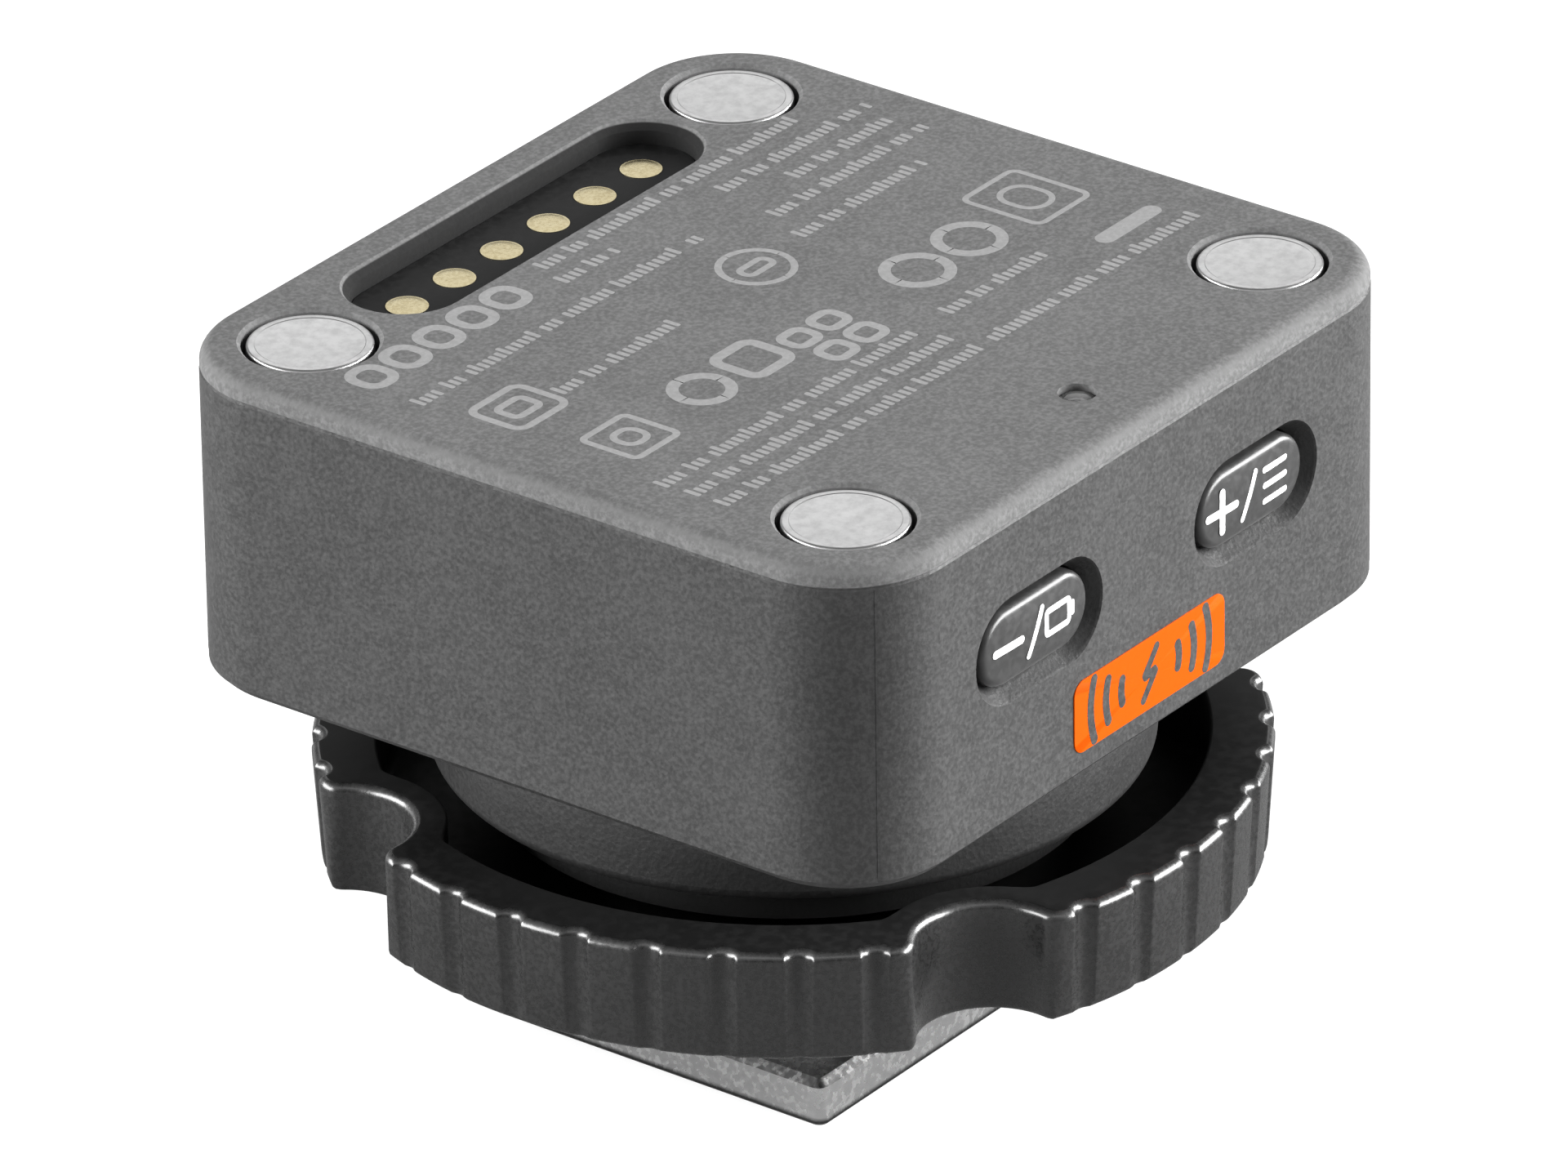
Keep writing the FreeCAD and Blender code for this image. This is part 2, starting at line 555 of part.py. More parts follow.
def ring_grips():
    """Cutters for the thumb notches and the flutes; the flutes lean in with the draft."""
    cutters = [cylinder(NOTCH_RADIUS, RING_BOTTOM - OVER, RING_TOP + OVER, polar(NOTCH_CENTRE_RADIUS, a))
               for a in notch_angles()]
    lean = math.degrees(math.atan2(RING_DRAFT, RING_HEIGHT))
    first = (360 / QUADRANTS - (FLUTES_PER_QUADRANT - 1) * FLUTE_PITCH) / 2
    flute_centre = RING_RADIUS + FLUTE_RADIUS - FLUTE_DEPTH
    for notch in notch_angles():
        for i in range(FLUTES_PER_QUADRANT):
            angle = notch + first + i * FLUTE_PITCH
            flute = cylinder(FLUTE_RADIUS, RING_BOTTOM - OVER, RING_TOP + OVER, V(flute_centre, 0, 0))
            flute.rotate(V(flute_centre, 0, RING_TOP), PRESS, lean)
            flute.rotate(V(0, 0, 0), UP, angle)
            cutters.append(flute)
    return cutters


def make_pressure_plate():
    """Washer that presses on the shoe; flats on the stem stop it turning with the ring."""
    bottom = RING_BOTTOM - PLATE_BELOW_RING
    top = bottom + PLATE_THICKNESS
    step = RING_BOTTOM + PLATE_LIP_HEIGHT + FIT
    body = cylinder(PLATE_RADIUS - PLATE_LIP, bottom, step).fuse(cylinder(PLATE_RADIUS, step, top))
    across = STEM_ACROSS_FLATS + 2 * RUNNING
    return body.cut(stem_core(bottom - OVER, top + OVER, HUB_BORE, across))


# ---- Case ---------------------------------------------------------------------------
def make_main_shell():
    """Lower shell with the boss and collar under it, screw posts, button holes and socket mouth."""
    body = rounded_block(CASE_WIDTH, CASE_DEPTH, CASE_BOTTOM, SEAM, CASE_RADIUS)
    body = body.makeChamfer(CASE_EDGE, edges_at(body, CASE_BOTTOM))
    body = body.makeChamfer(SEAM_GROOVE, edges_at(body, SEAM))
    boss = cylinder(BOSS_RADIUS, BOSS_BOTTOM, CASE_BOTTOM + FLOOR)
    boss = boss.makeFillet(BOSS_FILLET, edges_at(boss, BOSS_BOTTOM))
    collar = cylinder(COLLAR_RADIUS, COLLAR_BOTTOM, BOSS_BOTTOM + BOSS_FLOOR)
    body = union([body, boss, collar])
    body = body.cut(rounded_block(INNER_WIDTH, INNER_DEPTH, FLOOR_TOP, SEAM + OVER, INNER_RADIUS))
    body = body.cut(cylinder(BOSS_BORE, BOSS_FLOOR_TOP, FLOOR_TOP + OVER))
    body = body.cut(cylinder(COLLAR_BORE, COLLAR_BOTTOM - OVER, BOSS_FLOOR_TOP + OVER))
    body = body.fuse(union([cylinder(PILLAR_RADIUS, FLOOR_TOP, BOARD_BOTTOM, p) for p in CORNERS.values()]))
    cuts = []
    for p in CORNERS.values():
        cuts.append(cylinder(CASE_SCREW_HEAD_RADIUS + FIT, CASE_BOTTOM - OVER, CASE_SCREW_SEAT, p))
        cuts.append(cylinder(CASE_SCREW_RADIUS + FIT, CASE_BOTTOM, BOARD_BOTTOM + OVER, p))
    cuts += [cylinder(STEM_SCREW_RADIUS, STEM_SCREW_TIP, BOSS_FLOOR_TOP + OVER, p)
             for p in stem_screw_places()]
    hole = (BUTTON_HOLE_WIDTH, BUTTON_HOLE_HEIGHT)
    recess = (RECESS_WIDTH, RECESS_HEIGHT)
    for x in (-BUTTON_X, BUTTON_X):
        cuts.append(pill(*hole, FRONT - OVER, FRONT + WALL + OVER, x, BUTTON_Z))
        cuts.append(pill_funnel(recess, hole, FRONT, FRONT + RECESS_DEPTH, x, BUTTON_Z))
    cuts.append(usb_outline(SIDE - WALL - OVER, SIDE + OVER, MOUTH_GAP))
    return body.cut(union(cuts)).removeSplitter()


def make_top_cover():
    """Cover with a rounded top edge, a locating skirt, magnet cups and screw pillars."""
    plate = rounded_block(CASE_WIDTH, CASE_DEPTH, SEAM, CASE_TOP, CASE_RADIUS)
    plate = plate.makeFillet(TOP_FILLET, edges_at(plate, CASE_TOP))
    plate = plate.makeChamfer(SEAM_GROOVE, edges_at(plate, SEAM))
    width = INNER_WIDTH - 2 * FIT
    depth = INNER_DEPTH - 2 * FIT
    inside = rounded_block(width, depth, BOARD_TOP, SEAM, INNER_RADIUS - FIT)
    thick = inside.common(block(width, depth, TOP_UNDERSIDE, SEAM))
    hollow = block(INNER_WIDTH - 2 * SKIRT, INNER_DEPTH - 2 * SKIRT, BOARD_TOP - OVER, SEAM + OVER)
    skirt = inside.common(block(width, depth, SEAM - SKIRT_HEIGHT, SEAM)).cut(hollow)
    cups = union([cylinder(MAGNET_HOLE + CUP_WALL, CUP_BOTTOM, SEAM, p) for p in CORNERS.values()])
    pillars = union([cylinder(PILLAR_RADIUS, BOARD_TOP, SEAM, p) for p in CORNERS.values()])
    body = union([plate, thick, skirt, cups.common(inside), pillars])
    cuts = []
    for p in CORNERS.values():
        edge = V(p.x, p.y, CASE_TOP - HOLE_EDGE)
        cuts.append(cylinder(MAGNET_HOLE, CUP_BOTTOM + CUP_WALL, CASE_TOP + OVER, p))
        cuts.append(Part.makeCone(MAGNET_HOLE, MAGNET_HOLE + HOLE_EDGE, HOLE_EDGE, edge))
        cuts.append(cylinder(CASE_SCREW_RADIUS, BOARD_TOP - OVER, CASE_SCREW_TIP + PILLAR_PILOT_EXTRA, p))
    cuts.append(slot_block(POCKET_LENGTH, POCKET_WIDTH, TOP_UNDERSIDE - OVER, CASE_TOP + OVER, POCKET_PLACE))
    cuts.append(pocket_rim())
    cuts.append(block_flange_outline(BLOCK_BOTTOM - OVER, TOP_UNDERSIDE, FIT))
    cuts.append(cylinder(LIGHT_RADIUS + FIT, TOP_UNDERSIDE - OVER, CASE_TOP + OVER, LIGHT_PLACE))
    flange_seat = TOP_UNDERSIDE - LIGHT_FLANGE_HEIGHT - FIT
    cuts.append(cylinder(LIGHT_RADIUS + LIGHT_FLANGE + FIT, flange_seat, TOP_UNDERSIDE, LIGHT_PLACE))
    return body.cut(union(cuts)).removeSplitter()


def pocket_rim():
    """Cutter for the sloped rim of the contact pocket."""
    wires = []
    for grow, level in ((0, CASE_TOP - POCKET_RIM), (2 * POCKET_RIM, CASE_TOP)):
        plug = slot_block(POCKET_LENGTH + grow, POCKET_WIDTH + grow, level, level + OVER, POCKET_PLACE)
        face = min(plug.Faces, key=lambda f: f.CenterOfMass.z)
        wires.append(face.OuterWire)
    return Part.makeLoft(wires, True, True)


def block_flange_outline(z0, z1, grow):
    """Contact block flange in plan, grown all round."""
    length = POCKET_LENGTH + 2 * (BLOCK_FLANGE + grow)
    width = POCKET_WIDTH + 2 * (BLOCK_FLANGE + grow)
    return block(length, width, z0, z1, POCKET_PLACE)


def make_magnet(place):
    """Disc magnet seated in its cup."""
    body = cylinder(MAGNET_RADIUS, CUP_BOTTOM + CUP_WALL, CASE_TOP - MAGNET_SUNK, place)
    return body.makeChamfer(MAGNET_EDGE, edges_at(body, CASE_TOP - MAGNET_SUNK))


def contact_places():
    """One row along the middle of the pocket."""
    return [V((i - (CONTACT_COUNT - 1) / 2) * CONTACT_PITCH, POCKET_Y, 0) for i in range(CONTACT_COUNT)]


def make_contact_block():
    """Insulating block whose raised face is the floor of the pocket."""
    length = POCKET_LENGTH - 2 * FIT
    face = slot_block(length, POCKET_WIDTH - 2 * FIT, BLOCK_BOTTOM, POCKET_FLOOR, POCKET_PLACE)
    body = face.fuse(block_flange_outline(BLOCK_BOTTOM, TOP_UNDERSIDE, 0))
    holes = [cylinder(CONTACT_RADIUS, BLOCK_BOTTOM - OVER, POCKET_FLOOR + OVER, p) for p in contact_places()]
    return body.cut(union(holes)).removeSplitter()


def make_top_contact(place):
    """Gold pin with a chamfered face, just proud of the block."""
    body = cylinder(CONTACT_RADIUS, BLOCK_BOTTOM, POCKET_FLOOR + CONTACT_PROUD, place)
    return body.makeChamfer(CONTACT_PROUD, edges_at(body, POCKET_FLOOR + CONTACT_PROUD))


def make_light_pipe():
    """Clear rod with a low dome that carries the status light up to the top face."""
    top = CASE_TOP - LIGHT_SUNK
    start = BOARD_TOP + LED_SIZE.z + MOVING_GAP / 2
    stem = cylinder(LIGHT_RADIUS, start, top, LIGHT_PLACE)
    stem = stem.makeFillet(LIGHT_DOME, edges_at(stem, top))
    flange = LIGHT_RADIUS + LIGHT_FLANGE
    return stem.fuse(cylinder(flange, TOP_UNDERSIDE - LIGHT_FLANGE_HEIGHT, TOP_UNDERSIDE, LIGHT_PLACE))


def make_case_screws():
    """Pan-head screws from below, up through the shell posts into the cover pillars."""
    screws = []
    for p in CORNERS.values():
        head_bottom = CASE_SCREW_SEAT - CASE_SCREW_HEAD
        head = cylinder(CASE_SCREW_HEAD_RADIUS, head_bottom, CASE_SCREW_SEAT, p)
        shank = cylinder(CASE_SCREW_RADIUS, CASE_SCREW_SEAT, CASE_SCREW_TIP, p)
        drive = cross_slot(CASE_SCREW_HEAD_RADIUS, p, head_bottom - OVER, head_bottom + CROSS_DEPTH)
        screws.append(head.fuse(shank).cut(drive))
    return Part.makeCompound(screws)


def make_side_label():
    """Printed label on the button face."""
    corner = V(-LABEL_WIDTH / 2, FRONT - LABEL_THICKNESS, LABEL_Z - LABEL_HEIGHT / 2)
    body = Part.makeBox(LABEL_WIDTH, LABEL_THICKNESS, LABEL_HEIGHT, corner)
    short = [e for e in body.Edges if abs(e.Length - LABEL_THICKNESS) < TOLERANCE]
    return body.makeFillet(LABEL_RADIUS, short)


# ---- Buttons and switches -----------------------------------------------------------
def make_button(x):
    """Key cap with a flange behind the wall and a post that reaches its switch."""
    width = BUTTON_HOLE_WIDTH - 2 * BUTTON_GAP
    height = BUTTON_HOLE_HEIGHT - 2 * BUTTON_GAP
    cap = pill(width, height, FRONT + BUTTON_SUNK, BUTTON_FLANGE_BACK, x, BUTTON_Z)
    rim = [e for e in cap.Edges if e.BoundBox.YMax < FRONT + BUTTON_SUNK + TOLERANCE]
    cap = cap.makeFillet(BUTTON_EDGE, rim)
    flange = pill(BUTTON_HOLE_WIDTH + 2 * BUTTON_FLANGE, BUTTON_HOLE_HEIGHT + 2 * BUTTON_FLANGE,
                  BUTTON_FLANGE_FRONT, BUTTON_FLANGE_BACK, x, BUTTON_Z)
    post = rod(BUTTON_POST_RADIUS, BUTTON_FLANGE_BACK, BUTTON_FLANGE_BACK + BUTTON_POST, x, BUTTON_Z)
    return union([cap, flange, post]).removeSplitter()


def make_switch(x):
    """Side-push switch body on the main board, bored for its plunger."""
    half = BUTTON_Z - BOARD_TOP
    middle = V(x, SWITCH_FRONT + SWITCH_DEPTH / 2, 0)
    body = block(SWITCH_WIDTH, SWITCH_DEPTH, BOARD_TOP, BUTTON_Z + half, middle)
    bore_end = SWITCH_FRONT + PLUNGER_IN + BUTTON_TRAVEL + FIT
    bore = rod(PLUNGER_RADIUS + RUNNING, SWITCH_FRONT - OVER, bore_end, x, BUTTON_Z)
    return body.cut(bore)


def make_plunger(x):
    """Switch plunger, its front end against the post of the button."""
    return rod(PLUNGER_RADIUS, SWITCH_FRONT - PLUNGER_SHOWN, SWITCH_FRONT + PLUNGER_IN, x, BUTTON_Z)


# ---- Boards and other inside pieces -------------------------------------------------
def make_main_board():
    """Board clamped between the posts and the pillars, cut away behind the buttons."""
    width = INNER_WIDTH - 2 * BOARD_GAP
    depth = INNER_DEPTH - 2 * BOARD_GAP
    body = rounded_block(width, depth, BOARD_BOTTOM, BOARD_TOP, INNER_RADIUS - BOARD_GAP)
    hole = CASE_SCREW_RADIUS + FIT
    cuts = [cylinder(hole, BOARD_BOTTOM - OVER, BOARD_TOP + OVER, p) for p in CORNERS.values()]
    relief = BUTTON_HOLE_WIDTH + 2 * (BUTTON_FLANGE + MOVING_GAP)
    reach = 2 * (BUTTON_FLANGE_BACK + BUTTON_TRAVEL + MOVING_GAP - FRONT)
    cuts += [block(relief, reach, BOARD_BOTTOM - OVER, BOARD_TOP + OVER, V(x, FRONT, 0))
             for x in (-BUTTON_X, BUTTON_X)]
    return body.cut(union(cuts))


def make_battery():
    """Flat cell with rounded long edges."""
    body = block(BATTERY_WIDTH, BATTERY_LENGTH, BATTERY_BOTTOM, BATTERY_TOP)
    along = [e for e in body.Edges if abs(e.Length - BATTERY_LENGTH) < TOLERANCE]
    return body.makeFillet(BATTERY_EDGE, along)


def make_foam():
    """Pad between the cell and the floor."""
    return block(BATTERY_WIDTH - 2 * BATTERY_EDGE, BATTERY_LENGTH, FLOOR_TOP, BATTERY_BOTTOM)


def make_shield_can():
    """Thin metal lid over the radio, open towards the board."""
    top = BOARD_TOP + CAN_HEIGHT
    body = block(CAN_WIDTH, CAN_LENGTH, BOARD_TOP, top, CAN_PLACE)
    width = CAN_WIDTH - 2 * CAN_WALL
    length = CAN_LENGTH - 2 * CAN_WALL
    return body.cut(block(width, length, BOARD_TOP - OVER, top - CAN_WALL, CAN_PLACE))


def board_part(size, at):
    """Plain part soldered on the main board."""
    return block(size.x, size.y, BOARD_TOP, BOARD_TOP + size.z, at)


def usb_outline(x0, x1, grow):
    """Charging socket section, grown all round, run along X."""
    height = USB_HEIGHT + 2 * grow
    width = USB_WIDTH + 2 * grow
    z = BOARD_TOP + USB_HEIGHT / 2
    body = Part.makeBox(x1 - x0, width - height, height, V(x0, -(width - height) / 2, z - height / 2))
    ends = [Part.makeCylinder(height / 2, x1 - x0, V(x0, s * (width - height) / 2, z), V(1, 0, 0))
            for s in (-1, 1)]
    return body.multiFuse(ends).removeSplitter()


def make_usb_shell():
    """Metal shell of the charging socket, closed at its inner end."""
    mouth = SIDE - USB_SET_BACK
    body = usb_outline(mouth - USB_LENGTH, mouth, 0)
    return body.cut(usb_outline(mouth - USB_LENGTH + USB_WALL, mouth + OVER, -USB_WALL))


def make_usb_tongue():
    """Contact tongue in the middle of the socket."""
    start = SIDE - USB_SET_BACK - USB_LENGTH + USB_WALL
    z = BOARD_TOP + USB_HEIGHT / 2
    return Part.makeBox(USB_TONGUE_LENGTH, USB_TONGUE_WIDTH, USB_TONGUE_THICKNESS,
                        V(start, -USB_TONGUE_WIDTH / 2, z - USB_TONGUE_THICKNESS / 2))


def make_top_flex():
    """Flex strip from the main board up to the contact block."""
    return block(FLEX_WIDTH, FLEX_THICKNESS, BOARD_TOP + CONNECTOR_HEIGHT, BLOCK_BOTTOM, TOP_FLEX_PLACE)


# ---- The object ---------------------------------------------------------------------
def make_parts():
    """Every piece by name."""
    parts = {
        "foot_plate": make_foot_plate(),
        "contact_insert": make_contact_insert(),
        "foot_screws": make_foot_screws(),
        "threaded_stem": make_threaded_stem(),
        "stem_screws": make_stem_screws(),
        "contact_board": make_contact_board(),
        "foot_flex": make_foot_flex(),
        "locking_ring": make_locking_ring(),
        "pressure_plate": make_pressure_plate(),
        "main_shell": make_main_shell(),
        "top_cover": make_top_cover(),
        "case_screws": make_case_screws(),
        "contact_block": make_contact_block(),
        "light_pipe": make_light_pipe(),
        "side_label": make_side_label(),
        "main_board": make_main_board(),
        "battery_cell": make_battery(),
        "battery_foam": make_foam(),
        "shield_can": make_shield_can(),
        "chip_antenna": board_part(ANTENNA_SIZE, ANTENNA_PLACE),
        "status_led": board_part(LED_SIZE, LIGHT_PLACE),
        "flex_connector": board_part(CONNECTOR_SIZE, TOP_FLEX_PLACE),
        "top_flex": make_top_flex(),
        "usb_shell": make_usb_shell(),
        "usb_tongue": make_usb_tongue(),
    }
    for name, place in CORNERS.items():
        parts[f"magnet_{name}"] = make_magnet(place)
    for i, place in enumerate(contact_places()):
        parts[f"top_contact_{i + 1}"] = make_top_contact(place)
    for name, x in (("minus", -BUTTON_X), ("plus", BUTTON_X)):
        parts[f"{name}_button"] = make_button(x)
        parts[f"{name}_switch"] = make_switch(x)
        parts[f"{name}_plunger"] = make_plunger(x)
    for name, (place, radius) in PINS.items():
        parts[f"shoe_pin_{name}"] = make_pin(place, radius)
        parts[f"pin_spring_{name}"] = make_spring(place, radius)
    return parts


os.makedirs("parts", exist_ok=True)
for name, shape in make_parts().items():
    shape.exportStep(f"parts/{name}.step")
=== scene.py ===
"""Looks of a wireless flash trigger: a square radio unit on a locking ring and a camera foot.

Shapes are worked out in millimetres as numpy arrays and turned into metres when a mesh is made.
+Z is up, the keys face -Y, the charging socket faces +X and the foot slides into a shoe along +Y.
"""

import logging
import math
from dataclasses import dataclass
from enum import Enum

import bpy
import numpy as np
from mathutils import Matrix, Vector


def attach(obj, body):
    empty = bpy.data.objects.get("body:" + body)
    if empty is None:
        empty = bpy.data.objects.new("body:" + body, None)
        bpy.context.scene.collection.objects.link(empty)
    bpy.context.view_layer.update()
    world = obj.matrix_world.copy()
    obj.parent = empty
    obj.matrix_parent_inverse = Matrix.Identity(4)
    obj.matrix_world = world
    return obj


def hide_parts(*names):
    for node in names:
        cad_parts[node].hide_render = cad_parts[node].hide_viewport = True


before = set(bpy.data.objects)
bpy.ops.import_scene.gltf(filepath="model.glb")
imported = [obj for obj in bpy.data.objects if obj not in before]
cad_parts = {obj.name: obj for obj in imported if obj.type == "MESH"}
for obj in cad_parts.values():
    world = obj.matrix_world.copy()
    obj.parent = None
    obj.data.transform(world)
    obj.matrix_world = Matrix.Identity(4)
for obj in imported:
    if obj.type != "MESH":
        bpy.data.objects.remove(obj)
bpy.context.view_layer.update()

LOG = logging.getLogger("flash_trigger")
MM = 0.001
SAME_PLACE = 1e-6    # points nearer than this are one, mm
ROUND = 9.0          # corner radius larger than any half width, which pill() cuts to a half circle
ARC_POINTS = 24      # points along a printed arc
Colour = tuple[float, float, float]
Pair = tuple[float, float]
Socket = bpy.types.NodeSocket


class Body(Enum):
    """Bodies that pieces ride on."""

    ROOT = "root"
    RING = "locking_ring"


class Ends(Enum):
    """How a skinned grid is finished at its first and last row."""

    LOOP = "last row joins the first"
    POLES = "fan to a point in the middle of each end row"


class Grain(Enum):
    """Surface textures that a finish can have."""

    SPARK = "spark eroded mould"
    SATIN = "fine even satin"
    BRUSHED = "straight brushed lines"
    TUMBLED = "tumbled metal"


# ---- Surfaces -------------------------------------------------------------------------------
@dataclass
class Surface:
    """Closed surface in millimetres.

    Attributes:
        points: (n, 3) vertex places.
        quads: (k, 4) vertex numbers.
        tris: (m, 3) vertex numbers.
        quad_finish: (k,) material number of each quad.
    """

    points: np.ndarray
    quads: np.ndarray
    tris: np.ndarray
    quad_finish: np.ndarray

    def outward(self) -> "Surface":
        """The surface with its faces pointing out.

        The volume is a sixth of the sum of triple products over triangles; where it comes out
        negative every face is turned over.

        Returns:
            This surface, or a copy with reversed faces.
        """
        halves = np.concatenate([self.quads[:, [0, 1, 2]], self.quads[:, [0, 2, 3]], self.tris])
        a, b, c = (self.points[halves[:, i]] for i in range(3))
        if np.einsum("ij,ij->", a, np.cross(b, c)) >= 0:
            return self
        return Surface(self.points, self.quads[:, ::-1], self.tris[:, ::-1], self.quad_finish)

    def moved(self, points: np.ndarray) -> "Surface":
        """The same faces on other points."""
        return Surface(points, self.quads, self.tris, self.quad_finish)


def skin(rows: np.ndarray, ends: Ends, row_finish: np.ndarray | None = None) -> Surface:
    """Surface over a grid of points whose columns close round.

    Vertex (i, j) is point j of row i; each quad joins (i, j), (i, j+1), (i+1, j+1), (i+1, j).

    Args:
        rows: (m, n, 3) grid in millimetres.
        ends: how the first and last rows are finished.
        row_finish: material number of the band after each row.

    Returns:
        The closed surface, facing out.
    """
    m, n, _ = rows.shape
    bands = m if ends is Ends.LOOP else m - 1
    i, j = np.meshgrid(np.arange(bands), np.arange(n), indexing="ij")
    below, right = (i + 1) % m, (j + 1) % n
    quads = np.stack([i * n + j, i * n + right, below * n + right, below * n + j], -1).reshape(-1, 4)
    finish = np.zeros(bands, int) if row_finish is None else np.asarray(row_finish)[:bands]
    points, tris = rows.reshape(-1, 3), np.zeros((0, 3), int)
    if ends is Ends.POLES:
        first, last = len(points), len(points) + 1
        points = np.concatenate([points, rows[[0, -1]].mean(axis=1)])
        k = np.arange(n)
        k1 = (k + 1) % n
        start = np.stack([k1, k, np.full(n, first)], -1)
        finish_fan = np.stack([k + (m - 1) * n, k1 + (m - 1) * n, np.full(n, last)], -1)
        tris = np.concatenate([start, finish_fan])
    return Surface(points, quads, tris, np.repeat(finish, n)).outward()


def soften(corners: np.ndarray, radii: tuple[float, ...], steps: int = 6) -> np.ndarray:
    """Open polyline whose corners are swapped for circular arcs.

    Each arc is a rational quadratic curve from the corner's two tangent points, its middle weight
    the cosine of half the turn. The tangent points lie at radius times the tangent of half the
    turn from the corner.

    Args:
        corners: (m, 2) corner points.
        radii: arc radius at each corner.
        steps: points on each arc.

    Returns:
        (k, 2) points along the softened line.
    """
    before, after = np.roll(corners, 1, 0) - corners, np.roll(corners, -1, 0) - corners
    before[0], after[-1] = -after[0], -before[-1]
    before /= np.linalg.norm(before, axis=1, keepdims=True)
    after /= np.linalg.norm(after, axis=1, keepdims=True)
    turn = np.pi - np.arccos(np.clip((before * after).sum(1), -1, 1))
    reach = (np.asarray(radii, float) * np.tan(np.minimum(turn, 3.0) / 2))[:, None]
    start, end = corners + before * reach, corners + after * reach
    weight = np.cos(turn / 2)[:, None, None]
    t = np.linspace(0, 1, steps)[None, :, None]
    a, b, c = (1 - t) ** 2, 2 * t * (1 - t) * weight, t**2
    arcs = (a * start[:, None] + b * corners[:, None] + c * end[:, None]) / (a + b + c)
    line = arcs.reshape(-1, 2)
    keep = np.linalg.norm(line - np.roll(line, 1, 0), axis=1) > SAME_PLACE
    keep[0] = True
    return line[keep]


def lathe(profile: np.ndarray, centre: Pair, around: int) -> Surface:
    """Solid of revolution: point (r, z) of the profile goes to (r cos t, r sin t, z).

    Args:
        profile: (m, 2) radii and levels from one end of the axis to the other.
        centre: plan position of the axis.
        around: number of columns.

    Returns:
        The turned surface, closed by poles.
    """
    t = np.linspace(0, 2 * np.pi, around, endpoint=False)
    r, z = profile[:, :1], profile[:, 1:]
    x, y = r * np.cos(t) + centre[0], r * np.sin(t) + centre[1]
    return skin(np.stack([x, y, np.broadcast_to(z, x.shape)], -1), Ends.POLES)


def pill(width: np.ndarray, height: np.ndarray, corner: np.ndarray, steps: int = 20) -> np.ndarray:
    """Rounded rectangles: four quarter circles whose middles lie a corner radius in from the sides.

    Args:
        width: (m,) full widths.
        height: (m,) full heights.
        corner: (m,) corner radii.
        steps: points on each quarter circle.

    Returns:
        (m, 4 * steps, 2) outlines, anticlockwise.
    """
    signs = np.array([[1, 1], [-1, 1], [-1, -1], [1, -1]], float)
    t = np.linspace(0, np.pi / 2, steps) + np.arange(4)[:, None] * np.pi / 2
    arc = np.stack([np.cos(t), np.sin(t)], -1)
    corner = np.minimum(corner, np.minimum(width, height) / 2)
    half = np.stack([width / 2 - corner, height / 2 - corner], -1)
    grid = half[:, None, None] * signs[:, None] + corner[:, None, None, None] * arc
    return grid.reshape(len(width), -1, 2)


@dataclass(frozen=True)
class Side:
    """Flat side of the object that outlines are laid on.

    Attributes:
        origin: point that (0, 0, 0) goes to.
        right: direction of u.
        up: direction of v.
        out: direction of w, away from the object.
    """

    origin: Colour
    right: Colour
    up: Colour
    out: Colour

    def place(self, uvw: np.ndarray) -> np.ndarray:
        """Points (u, v, w) carried to origin + u right + v up + w out."""
        return np.asarray(self.origin) + uvw @ np.array([self.right, self.up, self.out], float)

    def laid(self, surface: Surface) -> Surface:
        """A surface made in (u, v, w), carried to this side."""
        return surface.moved(self.place(surface.points)).outward()


def stacked_pills(sizes: np.ndarray, steps: int = 20) -> Surface:
    """Surface through rounded rectangles stacked along w.

    Args:
        sizes: (m, 4) width, height, corner radius and level of each row.
        steps: points on each quarter circle.

    Returns:
        The surface in (u, v, w), closed by poles.
    """
    outlines = pill(sizes[:, 0], sizes[:, 1], sizes[:, 2], steps)
    levels = np.broadcast_to(sizes[:, 3, None, None], (*outlines.shape[:2], 1))
    return skin(np.concatenate([outlines, levels], -1), Ends.POLES)


def ribbon(path: np.ndarray, width: float, thickness: float, closed: bool = False) -> Surface:
    """Flat printed stroke: a low rectangle carried along a path in the (u, v) plane.

    Side points are path plus or minus half the width times the normal. An open stroke has round
    ends: within half a width of an end, the half width is that of a circle there.

    Args:
        path: (k, 2) points.
        width: stroke width.
        thickness: height above the plane.
        closed: whether the last point joins the first.

    Returns:
        The stroke in (u, v, w).
    """
    half = width / 2
    if closed:
        tangent = np.roll(path, -1, 0) - np.roll(path, 1, 0)
        reach = np.full(len(path), half)
    else:
        length = np.concatenate([[0], np.cumsum(np.linalg.norm(np.diff(path, axis=0), axis=1))])
        cap = np.sin(np.linspace(0, np.pi / 2, 6)) * half
        s = np.unique(np.concatenate([half - cap, length, length[-1] - half + cap]))
        s = s[(s >= 0) & (s <= length[-1])]
        path = np.stack([np.interp(s, length, path[:, i]) for i in range(2)], -1)
        tangent = np.gradient(path, axis=0)
        inside = np.minimum(np.minimum(s, length[-1] - s), half)
        reach = np.sqrt(np.maximum(half**2 - (half - inside) ** 2, (0.04 * half) ** 2))
    tangent = tangent / np.linalg.norm(tangent, axis=1, keepdims=True)
    normal = np.stack([-tangent[:, 1], tangent[:, 0]], -1) * reach[:, None]
    left, right = path + normal, path - normal
    low, high = np.zeros((len(path), 1)), np.full((len(path), 1), thickness)
    rows = [np.hstack(pair) for pair in ((left, low), (left, high), (right, high), (right, low))]
    return skin(np.stack(rows, 1), Ends.LOOP if closed else Ends.POLES)


def arc_path(centre: Pair, radius: float, start: float, end: float) -> np.ndarray:
    """Points on a circle from one angle to another, in degrees."""
    t = np.radians(np.linspace(start, end, ARC_POINTS))
    return np.stack([centre[0] + radius * np.cos(t), centre[1] + radius * np.sin(t)], -1)


